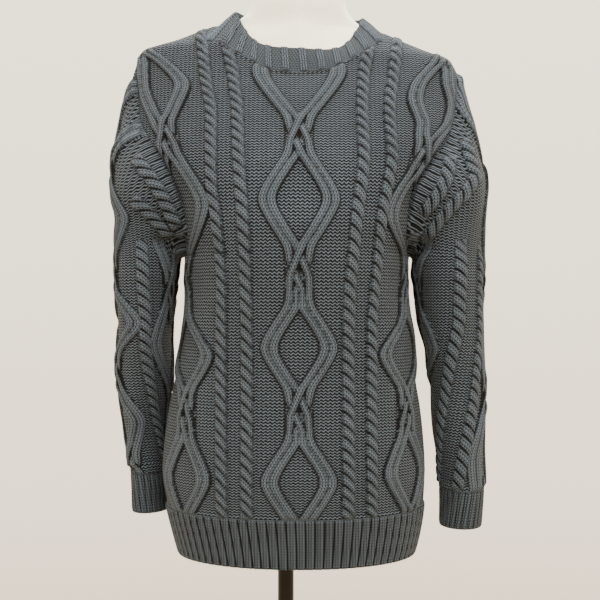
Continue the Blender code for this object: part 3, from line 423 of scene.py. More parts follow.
def apart_at(height, knots, openings):
    """How far each band of a parting cable stands from its axis: straight edges and a rounded corner."""
    apart = np.full(np.shape(height), TOUCHING)
    joined = 2 * STRAND_HALF
    for (_, _, top), (_, low, _), opening in zip(knots, knots[1:], openings):
        away = np.abs(2 * (height - low) / (top - low) - 1)
        bend = np.hypot(np.minimum(away, 1), OPENING_CORNER) - OPENING_CORNER
        parted = joined + (opening - joined) * (1 - bend / (math.hypot(1, OPENING_CORNER) - OPENING_CORNER))
        beyond = np.maximum(np.maximum(low - height, height - top), 0)
        closing = TOUCHING + (joined - TOUCHING) * np.exp(-beyond / TIP_LENGTH)
        apart = np.maximum(apart, np.where(beyond > 0, closing, parted))
    return apart


example = apart_at(np.array([1326.0]), ((0, 0, 1371), (0, 1281, 0)), (40,))
print("halfway down an opening of 40 mm the bands lie", round(float(example[0])), "mm from their axis")

# %% [markdown]
# ## Knots
# Where the bands meet, their four strands are plaited: the two inner strands cross first, then each outer
# one passes over or under its neighbour. A strand that passes over is lifted for a moment, and the one under
# it is sunk. The plait is worked out as four ridges whose places swap in turn, on a low floor that closes
# the gaps.

# %% Lay a parting cable
BAND_HEIGHT, BAND_FLOOR, BAND_FLOOR_DIP = 4.2, 0.8, 0.4
# In a knot the strands are drawn together, lifted or sunk, and fuller than their share of the width
KNOT_HALF_STRAND, KNOT_LENGTH = 3.4, 33.0
KNOT_OVER, KNOT_UNDER, KNOT_SWELL, KNOT_FLOOR = 1.6, -1.8, 0.55, 1.6
# How far the fullness and a crossing reach along the knot, in half-lengths of it
SWELL_REACH, CROSSING_REACH, CROSSING_LENGTH = 0.6, 0.28, 0.7
# The three crossings start here, from the top of the knot down
CROSSINGS = (0.85, 0.35, -0.15)
FLOOR_REACH, FLAT_BAND_FROM = 0.75, 0.7
# Where a band begins to dip towards a knot, and over which length, in half-lengths of the knot
DIP_START, DIP_LENGTH = 1.1, 0.4
# How much darker a flat band is drawn all over, and the painted shade on the knot's low floor between the
# strands and on the ground beside the bands
BAND_DARK, KNOT_FLOOR_SHADE, EDGE_SHADE = 0.25, 0.7, 0.75
# How much nearer to its middle the painted shade on a strand's edge begins in a knot, and the width of that
# shade
KNOT_EDGE, KNOT_EDGE_WIDTH = 0.2, 0.26


def lay_parting_cable(cloth, across, knots, openings):
    """Two bands of two strands each, which part and meet again, and are plaited where they meet."""
    apart = apart_at(cloth.height, knots, openings)
    inner = np.maximum(apart - STRAND_HALF, KNOT_HALF_STRAND)
    outer = np.maximum(apart + STRAND_HALF, 3 * KNOT_HALF_STRAND)
    middles = np.array([knot[0] for knot in knots], float)
    nearest = middles[np.argmin(np.abs(cloth.height[..., None] - middles), axis=-1)]
    t = (cloth.height - nearest) / KNOT_LENGTH
    in_plait = np.exp(-((t / SWELL_REACH) ** 4))
    half = (outer - inner) / 2 * (1 + KNOT_SWELL * in_plait)
    first, middle, last = (ease((start - t) / CROSSING_LENGTH) for start in CROSSINGS)
    passing = (1 - 2 * first) * inner * (1 - middle) - outer * middle
    following = outer * (1 - middle) + middle * inner * (1 - 2 * last)

    def at_crossing(place, lift):
        return lift * np.exp(-((t - place) / CROSSING_REACH) ** 2)

    strands = (
        (-following, at_crossing(0, KNOT_UNDER) + at_crossing(-0.5, KNOT_OVER)),
        (-passing, at_crossing(0.5, KNOT_UNDER) + at_crossing(0, KNOT_OVER)),
        (passing, at_crossing(0.5, KNOT_OVER) + at_crossing(0, KNOT_OVER)),
        (following, at_crossing(0, KNOT_UNDER) + at_crossing(-0.5, KNOT_UNDER)),
    )
    from_band = np.abs(across) - apart
    # Painted shade beside the bands, on their edges, on the knot's floor and on the edges of its strands
    cloth.shade_beside(np.abs(from_band) - 2 * STRAND_HALF, EDGE_SHADE)
    band, band_edge_shade = ridge(from_band, 2 * STRAND_HALF)
    flat = (BAND_FLOOR - BAND_FLOOR_DIP * ease((DIP_START - np.abs(t)) / DIP_LENGTH)) * BAND_HEIGHT * band
    cloth.lay(np.where(np.abs(t) > FLAT_BAND_FROM, flat, 0), np.maximum(BAND_DARK, band_edge_shade),
              from_band / STRAND_HALF * STRAND_WALES / 2, cloth.course)
    in_knot = (np.abs(t) < FLOOR_REACH) & (np.abs(across) < outer)
    cloth.lay(np.where(in_knot, KNOT_FLOOR, 0), KNOT_FLOOR_SHADE, across / WALE, cloth.course)
    for place, lift in strands:
        away = across - place
        height = ridge(away, half)[0]
        groove_shade = ease((np.abs(away) / half - STRAND_EDGE + KNOT_EDGE * in_plait) / KNOT_EDGE_WIDTH)
        relief = np.where(np.abs(away) < half, (BAND_HEIGHT + lift) * height, 0)
        cloth.lay(relief, groove_shade, away / half * STRAND_WALES / 2 + 0.5, cloth.course)


print("a knot is", 2 * KNOT_LENGTH, "mm long and", 6 * KNOT_HALF_STRAND, "mm wide")

# %% [markdown]
# ## Where the cables lie
# The chart of this sweater: a centre cable, two ropes on each side of it, and a cable on each side seam's
# side. The knots are a repeat of about 150 mm, a little uneven, because the cloth hangs on a body. The ropes
# and the side cables spread at the chest, where the same number of stitches has more width to cover.

# %% Knots and openings
# Each knot: height of its middle, and of the tips of the openings above and below it
CENTRE_KNOTS = ((1392, 1415, 1371), (1239, 1263, 1213), (1091, 1119, 1045), (936, 962, 896), (790, 817, 760))
SIDE_KNOTS = {
    -1: ((1366, 1390, 1342), (1241, 1265, 1217), (1080, 1105, 1035), (928, 956, 894), (790, 816, 765)),
    1: ((1352, 1376, 1328), (1216, 1240, 1192), (1078, 1103, 1035), (930, 957, 899), (798, 823, 773)),
}
CENTRE_OPENINGS, SIDE_OPENINGS = (44, 35, 32.5, 32), (26, 31, 41, 29)
open_lengths = [upper[2] - lower[1] for upper, lower in zip(CENTRE_KNOTS, CENTRE_KNOTS[1:])]
print("openings of the centre cable", open_lengths, "mm long")

# %% Paths of the ropes and the side cables
ROPES = np.array([
    # height, outer left, inner left, inner right, outer right
    (820, -85, -57, 54, 80),
    (945, -86, -57, 54, 80),
    (1020, -86, -57, 54, 80),
    (1062, -86, -58, 55, 83),
    (1105, -87, -59, 59, 87),
    (1147, -91, -61, 63, 91),
    (1189, -97, -65, 69, 99),
    (1220, -98, -67, 72, 104),
    (1265, -99, -69, 71, 102),
    (1313, -107, -75, 74, 108),
    (1345, -111, -82, 80, 113),
    (1385, -117, -88, 84, 118),
], float)
SIDE_AXIS = np.array([
    # height, left, right
    (815, -131, 126),
    (929, -128, 121),
    (1079, -131, 124),
    (1120, -128, 124),
    (1160, -131, 126),
    (1216, -146, 139),
    (1240, -150, 148),
    (1262, -156, 157),
    (1300, -158, 156),
    (1330, -170, 166),
    (1352, -184, 172),
    (1366, -186, 176),
], float)

print("ropes lie", ROPES[-1, 1:], "mm from the middle at the shoulder")

# %% [markdown]
# ## Front and back panels
# The front and the back are each one knitted panel. The panel is a fine net of points: columns keep their
# place along the cloth, and rows are level. At the shoulders and at the neck the rows are simply cut off at
# the seam. A grid wrapped round a ready shape would need no seams, but its columns would cross the cables at
# an angle.

# %% Edges of a panel


def neck_height(x, back):
    height = level(NECK_SEAM, np.abs(x), 2 if back else 1)
    return height - NECK_TILT * x if back else height


def edge_along(side, back):
    """Length along the cloth of the armhole's seam and of the side seam, at each of HEIGHTS."""
    column = 1 if side < 0 else 2
    x = np.where(HEIGHTS > UNDERARM_LEVEL, level(ARMHOLE, HEIGHTS, column), level(BODY_LEVELS, HEIGHTS, column))
    found = np.abs(along_at(side * x, back))
    corner = float(np.interp(SHOULDER_CORNER[side], HEIGHTS, found))
    return np.where(HEIGHTS > SHOULDER_CORNER[side], corner, found)


at_rib = float(edge_along(-1, False)[int(RIB_LEVEL - HEIGHTS[0])])
print("side seam at the rib", round(at_rib), "mm from the middle, along the cloth")

# %% [markdown]
# ## The surface under the cables
# At the armhole the sewn seam pulls the cloth in, and round it the soft folds dip. Both are worked out
# before the cables are laid, because a cable stands out square to the cloth that carries it.

# %% Sunken seam and folds
# Depth and width of the dip along the armhole's seam, and the heights between which it lies
SEAM_SINK, SINK_SPREAD, SINK_LEVELS = 7.0, 14.0, (1107.0, 1235.0)


def armhole_share(points, side):
    """How near each point of a panel is to the armhole's seam, 1 on the seam and 0 away from it."""
    heights = points[..., 2]
    seam = side * level(ARMHOLE, heights, 1 if side < 0 else 2)
    near = np.exp(-((points[..., 0] - seam) / SINK_SPREAD) ** 2)
    low, high = SINK_LEVELS
    return near * np.sin(np.pi * np.clip((heights - low) / (high - low), 0, 1)) ** 2


def fold_out(points, folds):
    """How far the soft folds push each point of the body out."""
    push = np.zeros(points.shape[:-1])
    for side, y, height, y_spread, height_spread, out in folds:
        away = ((points[..., 1] - y) / y_spread) ** 2 + ((points[..., 2] - height) / height_spread) ** 2
        push += np.where(points[..., 0] * side > FOLD_REACH, out * np.exp(-away), 0)
    return push


def body_surface(along, height, back):
    """The folded, sunken surface under the cables, and its outward directions."""
    points = cloth_point(along, height, back)
    normals = body_normal(points, back)
    push = fold_out(points, BODY_FOLDS)
    for side in (-1, 1):
        push -= SEAM_SINK * armhole_share(points, side)
    return points + normals * push[..., None], normals


chest = body_surface(np.array([0.0]), np.array([1107.0]), False)[0][0]
print("the chest stands", round(float(-chest[1])), "mm in front of the pole's line")

# %% [markdown]
# ## Tops of the columns
# Each column of stitches ends where the panel is cut: on the shoulder line or on the neck seam. The height
# is found by following the column up to that line, so the panel gets its true slanted and curved upper edge.

# %% Where each column ends
NECK_STEPS, NECK_START = 12, 1340.0


def column_tops(shares, edges, back):
    """Height at which each column of a panel meets the shoulder line or the neck seam."""
    body, tops, reach = BODY[back], [], NECK_SEAM[-1, 0]
    for share in shares:
        side = -1 if share < 0 else 1
        half = body["left" if side < 0 else "right"]
        along = abs(share) * float(np.interp(SHOULDER_CORNER[side], HEIGHTS, edges[side]))
        above = HEIGHTS >= SHOULDER_CORNER[side]
        shoulder = float(np.interp(-along, -half[above], HEIGHTS[above]))
        if along >= half[above][0]:
            tops.append(SHOULDER_CORNER[side])
        elif float(body_width(np.float64(side), shoulder)) >= NECK_CORNER_X:
            tops.append(shoulder)
        else:
            height = NECK_START
            for _ in range(NECK_STEPS):
                x = cloth_point(np.array([side * along]), np.array([height]), back)[0, 0]
                height = float(neck_height(np.clip(x, -reach, reach), back))
            tops.append(height)
    return np.array(tops)


def corner_share(side, edges, back):
    """Share of the way to the edge at which a column meets the corner between the shoulder and the neck."""
    column = 1 if side < 0 else 2
    above = HEIGHTS >= SHOULDER_CORNER[side]
    widths = level(BODY_LEVELS, HEIGHTS[above], column)
    height = float(np.interp(-NECK_CORNER_X, -widths, HEIGHTS[above]))
    along = float(np.interp(height, HEIGHTS, BODY[back]["left" if side < 0 else "right"]))
    return side * along / float(np.interp(SHOULDER_CORNER[side], HEIGHTS, edges[side]))


neck_corner = corner_share(1, {1: edge_along(1, False)}, False)
print("the neck's corner lies at share", round(neck_corner, 3), "of the panel")

# %% [markdown]
# ## Meshes
# Two rows of points that differ in number are joined with triangles, like lacing a boot: the next eyelet is
# always the one that lies nearer. A piece collects its points, its faces and what is knitted at each point,
# and then makes one closed mesh of them. The stitches travel with the mesh as attributes, which the shader
# reads.

# %% Lace two rows together


def strip(first, second, first_at, second_at):
    """Triangles between two rows of points, each given with its positions along the row."""
    faces, i, j = [], 0, 0
    while i < len(first) - 1 or j < len(second) - 1:
        if j == len(second) - 1 or (i < len(first) - 1 and first_at[i + 1] <= second_at[j + 1]):
            faces.append((first[i], second[j], first[i + 1]))
            i += 1
        else:
            faces.append((first[i], second[j], second[j + 1]))
            j += 1
    return faces


print("lacing 3 points to 2 makes", len(strip([0, 1, 2], [3, 4], [0, 1, 2], [0, 2])), "triangles")

# %% A knitted piece


class Piece:
    """Collects the points, faces and stitches of one knitted piece, and makes its mesh."""

    def __init__(self):
        self.points, self.faces, self.count = [], [], 0
        self.ground, self.strand, self.groove_shade = [], [], []

    def add(self, points, cloth=None):
        points = np.asarray(points, float).reshape(-1, 3)
        self.points.append(points)
        count = len(points)
        if cloth is None:
            self.ground.append(np.zeros((count, 3)))
            self.strand.append(np.zeros((count, 3)))
            self.groove_shade.append(np.zeros(count))
        else:
            along, course = np.ravel(cloth.along), np.ravel(cloth.course)
            self.ground.append(np.stack([along / PURL_PITCH, course, np.zeros(count)], axis=1))
            strand = (np.ravel(cloth.across_strand), np.ravel(cloth.down_strand), np.ravel(cloth.knit))
            self.strand.append(np.stack(strand, axis=1))
            self.groove_shade.append(np.ravel(cloth.groove_shade))
        names = np.arange(self.count, self.count + count)
        self.count += count
        return names

    def make(self, name, slot, *materials):
        points = np.concatenate(self.points) * MM + np.array([GARMENT_SHIFT * MM, 0, 0])
        mesh = bpy.data.meshes.new(name + "_cloth")
        mesh.from_pydata(points.tolist(), [], self.faces)
        solid = bmesh.new()
        solid.from_mesh(mesh)
        bmesh.ops.recalc_face_normals(solid, faces=solid.faces)
        # Both sides of the wall are counted, so half of the area is that of the cloth
        area = sum(face.calc_area() for face in solid.faces) / 2
        solid.to_mesh(mesh)
        solid.free()
        mesh.shade_smooth()
        for label, kind, field, values in (
            ("ground", "FLOAT_VECTOR", "vector", self.ground),
            ("strand", "FLOAT_VECTOR", "vector", self.strand),
            ("groove_shade", "FLOAT", "value", self.groove_shade),
        ):
            layer = mesh.attributes.new(label, kind, "POINT")
            layer.data.foreach_set(field, np.concatenate(values).astype(np.float32).ravel())
        for material in materials:
            mesh.materials.append(material)
        item = bpy.data.objects.new(name + "_cloth", mesh)
        bpy.context.collection.objects.link(item)
        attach(item, "root")
        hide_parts(name)
        triangles = sum(len(face) - 2 for face in self.faces)
        print(name, triangles, "triangles,", round(area, 4), "square metres")
        return item


kept_lists = [name for name in vars(Piece()) if name not in ("points", "faces", "count")]
print("a piece keeps", kept_lists, "at each point")

# %% [markdown]
# ## Cables of the body
# All the cables are laid on the same points, and where two meet, the higher one wins. The back is the front's
# mirror image for the ropes, because it is seen from the other side.

# %% Knit the body's cables
# Courses by which each rope starts later than the one to its left
ROPE_STAGGER = 1.1


def knit_body(along, height, back):
    """Every cable of the front or the back at these points."""
    cloth = Stitches(along, height, body_course(height))
    course_height = np.interp(height, BODY_COURSES[:, 0], BODY_COURSES[:, 1])
    facing = -1 if back else 1
    for column in (1, 2, 3, 4):
        middle = np.interp(height, HEIGHTS, along_at(level(ROPES, HEIGHTS, column), back))
        lay_rope(cloth, facing * (along - middle), ROPE_STAGGER * column, course_height)
    lay_parting_cable(cloth, along, CENTRE_KNOTS, CENTRE_OPENINGS)
    for side, column in ((-1, 1), (1, 2)):
        axis = np.interp(height, HEIGHTS, along_at(level(SIDE_AXIS, HEIGHTS, column), back))
        lay_parting_cable(cloth, (along - axis) * -side, SIDE_KNOTS[side], SIDE_OPENINGS)
    return cloth


spot = knit_body(np.array([0.0, 20.0]), np.array([1239.0, 1239.0]), False)
print("relief in a knot and beside it", spot.relief.round(1), "mm")

# %% [markdown]
# ## Knitting a panel
# The panel is made in four steps: its net of points, its cables, its wall and its seams. The outer side is
# as fine as the stitches need. The inside is plain and coarse, since it only closes the wall, and at the
# armhole it is mitred, so that the sleeve's wall meets it without a gap or a clash.

# %% Net of points
SPACING = 1.5
UNDERARM_SPACING, UNDERARM_ROWS_TOP = 0.6, 1120.0
# Height at which the columns are counted, so that their spacing is right at the chest
COUNT_LEVEL = 1250


def panel_net(back, edges):
    """Shares of the columns, the columns at the neck's two corners, and each column's top and levels."""
    reach = {side: float(np.interp(COUNT_LEVEL, HEIGHTS, edges[side])) for side in (-1, 1)}
    shares = np.concatenate([np.linspace(-1, 0, round(reach[-1] / SPACING) + 1)[:-1],
                             np.linspace(0, 1, round(reach[1] / SPACING) + 1)])
    corners = []
    for side in (-1, 1):
        share = corner_share(side, edges, back)
        nearest = int(np.argmin(np.abs(shares - share)))
        shares[nearest] = share
        corners.append(nearest)
    tops = column_tops(shares, edges, back)
    levels = np.unique(np.concatenate([
        np.linspace(RIB_LEVEL, UNDERARM_LEVEL, round((UNDERARM_LEVEL - RIB_LEVEL) / SPACING) + 1),
        np.arange(UNDERARM_LEVEL, UNDERARM_ROWS_TOP, UNDERARM_SPACING),
        np.arange(UNDERARM_ROWS_TOP, tops.max(), SPACING),
    ]))[::-1]
    columns = [np.concatenate([[top], levels[levels < top - 0.5 * SPACING]]) for top in tops]
    return shares, corners, tops, columns


front_edges = {side: edge_along(side, False) for side in (-1, 1)}
print(len(panel_net(False, front_edges)[0]), "columns in the front")

# %% Cables of a panel, faded out at its seams
# Cables fade out over these lengths: at the side and armhole seams, at the rib, at the neckband and the
# shoulder
SIDE_FADE, RIB_FADE, NECK_FADE, SHOULDER_FADE = 7.0, 4.0, 6.0, 20.0
# At the ribs the cloth keeps this thickness, which hides the seam
SEAM_RISE = 1.8
# Holes of the linked neck seam, drawn as painted shade: how far below it they lie, and their size
LINK_DEPTH, LINK_SIZE = 2.2, 1.3


def panel_cloth(along, height, edges, below_top, on_neck, back):
    cloth = knit_body(along, height, back)
    edge = np.where(along < 0, np.interp(height, HEIGHTS, edges[-1]), np.interp(height, HEIGHTS, edges[1]))
    side_fade, low_fade = ease((edge - np.abs(along)) / SIDE_FADE), ease((height - RIB_LEVEL) / RIB_FADE)
    top_fade = ease(below_top / np.where(on_neck, NECK_FADE, SHOULDER_FADE))
    cloth.relief = cloth.relief * side_fade * low_fade * top_fade + SEAM_RISE * (1 - low_fade) * side_fade
    # The neckband is linked on stitch by stitch, which leaves a row of small holes under it, drawn only as
    # painted shade
    stitch = ease((np.cos(2 * np.pi * along / PURL_PITCH) + 0.1) / 0.6)
    hole_shade = stitch * np.exp(-((below_top - LINK_DEPTH) / LINK_SIZE) ** 2)
    cloth.groove_shade = np.where(on_neck, np.maximum(cloth.groove_shade, hole_shade), cloth.groove_shade)
    return cloth


print("cables fade over", SIDE_FADE, "mm at the side seams")

# %% Inside of a panel
# Only every twelfth column and row goes to the inside
INSIDE_STEP = 12
# Point that the mitred edge of the armhole turns towards, and how much longer the slanted edge is
ARMHOLE_MIDDLE, MITRE = (165.0, 0.0, 1225.0), 1.3


def mitre_armhole(inside, base, normals, height, starts, columns):
    """Slants the wall's edge along the armhole, so that it faces the sleeve's edge."""
    for side in (-1, 1):
        column = 0 if side < 0 else columns - 1
        for at in range(starts[column], starts[column + 1]):
            if height[at] >= UNDERARM_LEVEL:
                middle = np.array([side * ARMHOLE_MIDDLE[0], ARMHOLE_MIDDLE[1], ARMHOLE_MIDDLE[2]])
                way = unit(unit(middle - base[at]) - normals[at])
                inside[at] = base[at] + WALL * MITRE * way


def close_inside(piece, inside, height, starts, corners):
    """Adds a plain inside to a panel, round its border and in a coarse net."""
    last = len(starts) - 2
    border = [starts[column] for column in range(last)]
    border += list(range(starts[last], starts[last + 1] - 1))
    border += [starts[column + 1] - 1 for column in range(last, 0, -1)]
    border += list(range(starts[1] - 1, 0, -1))
    rim = piece.add(inside[border])
    closed = list(range(len(border))) + [len(border)]
    piece.faces += strip(border + border[:1], list(rim) + [rim[0]], closed, closed)

    picked = sorted({*range(0, last, INSIDE_STEP), last, *corners, *(at + 1 for at in corners),
                     *(at - 1 for at in corners)})
    coarse, coarse_rows = [], []
    for column in picked:
        a, b = starts[column], starts[column + 1]
        rows = sorted({a, *range(b - 1, a + INSIDE_STEP // 2, -INSIDE_STEP)})
        coarse.append(list(piece.add(inside[rows])))
        coarse_rows.append(rows)
    for at in range(len(picked) - 1):
        piece.faces += strip(coarse[at], coarse[at + 1], -height[coarse_rows[at]], -height[coarse_rows[at + 1]])

    # The net's own border, all round: along the top, down the right, back along the bottom, up the left
    place = {name: at for at, name in enumerate(border)}
    ring = [(place[rows[0]], names[0]) for rows, names in zip(coarse_rows[:-1], coarse[:-1])]
    ring += [(place[row], name) for row, name in zip(coarse_rows[-1][:-1], coarse[-1][:-1])]
    ring += [(place[rows[-1]], names[-1]) for rows, names in zip(coarse_rows[::-1][:-1], coarse[::-1][:-1])]
    ring += [(place[row], name) for row, name in zip(coarse_rows[0][:0:-1], coarse[0][:0:-1])]
    ring_at, ring_names = [at for at, _ in ring], [name for _, name in ring]
    piece.faces += strip(list(rim) + [rim[0]], ring_names + ring_names[:1], closed, ring_at + [len(border)])


print("the inside is", INSIDE_STEP, "times as coarse as the outside")

# %% Knit a panel


def knit_panel(back):
    edges = {side: edge_along(side, back) for side in (-1, 1)}
    shares, corners, tops, columns = panel_net(back, edges)
    sides = [-1 if share < 0 else 1 for share in shares]
    height = np.concatenate(columns)
    along = np.concatenate([share * np.interp(levels, HEIGHTS, edges[side])
                            for share, side, levels in zip(shares, sides, columns)])
    top_along = np.array([share * float(np.interp(top, HEIGHTS, edges[side]))
                          for share, side, top in zip(shares, sides, tops)])
    counts = [len(levels) for levels in columns]
    starts = np.concatenate([[0], np.cumsum(counts)])

    base, normals = body_surface(along, height, back)
    on_neck = np.repeat(np.abs(top_along) < NECK_CORNER_X, counts)
    cloth = panel_cloth(along, height, edges, np.repeat(tops, counts) - height, on_neck, back)
    outer, inside = base + normals * cloth.relief[:, None], base - normals * WALL
    mitre_armhole(inside, base, normals, height, starts, len(shares))
    shift = np.array([0, SEAM_GAP if back else 0, 0])
    outer, inside = outer + shift, inside + shift

    piece = Piece()
    piece.add(outer, cloth)
    for a, b, c in zip(starts, starts[1:], starts[2:]):
        piece.faces += strip(range(a, b), range(b, c), -height[a:b], -height[b:c])
    close_inside(piece, inside, height, starts, corners)

    left, right = slice(starts[0], starts[1]), slice(starts[-2], starts[-1])
    neck = starts[corners[0]:corners[1] + 1]
    borders = {"left": left, "right": right, "neck": neck}
    return piece, {name: (outer[rows], inside[rows]) for name, rows in borders.items()}


FRONT, FRONT_SEAMS = knit_panel(False)
BACK, BACK_SEAMS = knit_panel(True)
print("front", FRONT.count, "points; back", BACK.count, "points")

# %% [markdown]
# ## Sleeves
# A sleeve is knitted flat with a rounded top, the cap, and is then sewn into the armhole. It hangs as a
# tube: level rings follow the arm down to the cuff, each a little ellipse that may be turned. Level rings
# are easy to measure and to join to the cuff, and only the cap, which hangs aslant, needs another way.

# %% Levels of the sleeves
SLEEVE_LEVELS = {
    -1: np.array([
        # height, middle x, middle y, half-width, half-depth, turn in degrees
        (801, -181, 28, 20, 34, 10),
        (849, -182, 33, 20, 38, 14),
        (889, -184, 31, 22, 44, 15),
        (925, -186, 24, 25, 47, 13),
        (961, -186, 15, 28.5, 50, 10),
        (1017, -184, 6, 31.5, 56, 4),
        (1062, -183, 2, 34, 60, 0),
        (1085, -181, 0, 35, 62, 0),
    ], float),
    1: np.array([
        (787, 193.5, 2, 23.5, 34, 0),
        (832, 195, 2, 25, 37, 0),
        (870, 192.5, 2, 27.5, 42, 0),
        (900, 190, 2, 30, 46, 0),
        (961, 186, 2, 33, 51, 0),
        (1017, 181.5, 1, 35.5, 57, 0),
        (1046, 179, 0, 37, 60, 0),
        (1085, 176.5, 0, 41, 63, 0),
    ], float),
}
CUFF_LEVELS = {-1: (801.0, 849.0), 1: (787.0, 832.0)}
full_levels, cuff_levels = ([rows[at, 0] for rows in SLEEVE_LEVELS.values()] for at in (-1, 0))
print("full rings of the sleeves from", full_levels, "down to", cuff_levels, "mm")

# %% A level ring of a sleeve
# Height, and how far the outer fold has wandered round the sleeve there, as a share of half its girth
SLEEVE_TWIST = {
    -1: np.array([(801, 0.1), (889, 0.08), (1000, 0.0), (1085, 0.0)], float),
    1: np.array([(787, 0.24), (850, 0.18), (961, 0.05), (1030, -0.02), (1085, 0.0)], float),
}


def sleeve_ring(side, height, shares):
    """Points round a sleeve at one level, at signed shares of the way from its outer fold to the underarm."""
    table = SLEEVE_LEVELS[side]
    x, y, half_width, half_depth, turn = (float(level(table, height, column)) for column in range(1, 6))
    angle = np.radians(np.linspace(0, 360, 361))
    ring_x, ring_y = side * half_width * np.cos(angle), -half_depth * np.sin(angle)
    turn = math.radians(turn)
    ring = np.stack([
        x + ring_x * math.cos(turn) - side * ring_y * math.sin(turn),
        y + side * ring_x * math.sin(turn) + ring_y * math.cos(turn),
    ], axis=1)
    length = np.concatenate([[0], np.cumsum(np.linalg.norm(np.diff(ring, axis=0), axis=1))])
    half = length[180]
    twist = float(np.interp(height, *SLEEVE_TWIST[side].T))
    turned = np.mod((np.asarray(shares) + twist) * half, length[-1])
    return np.stack([np.interp(turned, length, ring[:, 0]), np.interp(turned, length, ring[:, 1]),
                     np.full(len(turned), height)], axis=1), half


print("left cuff is", round(2 * sleeve_ring(-1, CUFF_LEVELS[-1][0], [0.0])[1]), "mm round")

# %% [markdown]
# ## The sleeve's cap
# The cap puffs out from the armhole's seam and falls over into the tube. Each column of stitches there is
# one smooth path: it leaves the seam in a given direction, and arrives straight down at the first full ring.
# Such paths bow and fold as cloth does, and a change of one direction moves the whole cap.

# %% Paths over the cap
CAP_LEVEL = 1085.0
CAP_LEAVES = np.array([
    # share of the way from shoulder to underarm, outward, forward or back, upward, reach, reach at the end
    (0.00, 0.30, 0.00, -1.00, 240, 150),
    (0.25, 0.70, 0.30, -0.70, 200, 150),
    (0.50, 1.00, 0.35, -0.25, 130, 140),
    (0.75, 1.00, 0.25, 0.00, 75, 90),
    (1.00, 1.00, 0.00, 0.05, 34, 30),
], float)


def cap_paths(start, end, share, side, steps):
    """Points of the sleeve's cap, on a smooth path from the armhole to the first full ring."""
    face = -1 if share >= 0 else 1
    outward, along, upward, reach, reach_end = (
        np.interp(abs(share), CAP_LEAVES[:, 0], CAP_LEAVES[:, column]) for column in range(1, 6)
    )
    leave = reach * unit(np.array([side * outward, face * along, upward]))
    arrive = np.array([0, 0, -reach_end])
    step = steps[:, None]
    return (
        (2 * step**3 - 3 * step**2 + 1) * start
        + (step**3 - 2 * step**2 + step) * leave
        + (3 * step**2 - 2 * step**3) * end
        + (step**3 - step**2) * arrive
    )


print("paths over the cap start in", len(CAP_LEAVES), "named directions")

# %% Soft folds of the sleeves
# Face is -1 for the front half of the sleeve, 1 for the back half, 0 for both; share runs from fold to
# underarm
SLEEVE_FOLDS = (
    # side, face, share, height, share spread, height spread, push out
    (1, 0, 0.00, 1195, 0.22, 24, 7),
    (1, -1, 0.55, 1180, 0.25, 30, 8),
    (1, -1, 0.85, 1117, 0.22, 9, -8),
    (1, -1, 0.45, 1085, 0.10, 26, 3),
    (-1, 0, 0.00, 1222, 0.22, 20, 3),
    (-1, -1, 0.58, 1178, 0.25, 30, 8),
    (-1, -1, 0.80, 1122, 0.24, 9, -7),
    (-1, -1, 0.33, 1085, 0.09, 40, 4),
    (-1, 1, 0.55, 1170, 0.25, 32, 6),
    (1, 1, 0.55, 1170, 0.25, 32, 6),
    (-1, 1, 0.85, 1120, 0.22, 10, -6),
    (1, 1, 0.85, 1120, 0.22, 10, -6),
    (-1, 0, 1.00, 1040, 0.30, 60, -4),
    (1, 0, 1.00, 1075, 0.30, 24, -5),
    (1, 0, 1.00, 975, 0.30, 45, -5),
)
print(len(SLEEVE_FOLDS), "folds on the sleeves")

# %% [markdown]
# ## Rings of points
# Tubes are nets whose rows are closed rings. Their outward directions come from the net itself. Where two
# pieces meet at a seam, one is carried off the other by a small step, square to the edge that they share, so
# that the two walls never touch.

# %% Outward directions and seam gaps


def grid_normals(rows):
    """Outward directions of a grid whose rows are closed rings, all with the same number of points."""
    round_way = np.roll(rows, -1, axis=1) - np.roll(rows, 1, axis=1)
    down_way = np.gradient(rows, axis=0)
    normals = unit(np.cross(round_way, down_way))
    middle = rows.mean(axis=1, keepdims=True)
    facing = np.sum(normals * (rows - middle), axis=-1).mean()
    return normals if facing > 0 else -normals


def seam_shift(outer, inside, towards, gap):
    """Steps that carry a closed seam's row off its neighbour, square to the edge that the two share."""
    tangent = np.roll(outer, -1, axis=0) - np.roll(outer, 1, axis=0)
    across = unit(np.cross(tangent, inside - outer))
    return gap * across * np.sign(across @ np.array(towards, float))[:, None]


corners = np.array([(1, 0, 0), (0, 1, 0), (-1, 0, 0), (0, -1, 0)], float)
tube = np.stack([corners, corners + (0, 0, 1)])
print("outward from a square tube's first corner:", grid_normals(tube)[0, 0].round(2))

# %% Add and join rings


def add_rings(piece, rows, cloth, closed):
    """Adds rows of points to a piece and joins them with faces of four corners; closed rows join round."""
    names = piece.add(rows.reshape(-1, 3), cloth).reshape(rows.shape[:2])
    for upper, lower in zip(names, names[1:]):
        faces = np.stack([upper, lower, np.roll(lower, -1), np.roll(upper, -1)], axis=1)
        piece.faces += faces[:len(faces) if closed else -1].tolist()
    return names


def join_rings(piece, first, second, first_at, second_at):
    """Joins two closed rings that may have different numbers of points."""
    first, second = list(first) + [first[0]], list(second) + [second[0]]
    piece.faces += strip(first, second, list(first_at) + [first_at[0] + 1], list(second_at) + [second_at[0] + 1])


def places_of(points):
    length = np.concatenate([[0], np.cumsum(np.linalg.norm(np.diff(points, axis=0), axis=1))])
    return length / length[-1]


print("places along a bent line", places_of(np.array([(0.0, 0, 0), (3, 0, 0), (3, 1, 0)])))

# %% [markdown]
# ## Surface of a sleeve
# The armhole's seam is read from the two panels, so the sleeve meets them stitch by stitch. Its columns are
# spread evenly from the outer fold to the underarm. The rows stand closer together near the seam, where the
# cap bends most.

# %% Surface of a sleeve
SLEEVE_COLUMNS, CAP_ROWS, SLEEVE_SPACING = 264, 160, 1.6
# Share of the way down the cap over which the folds fade in
FOLD_START = 0.06


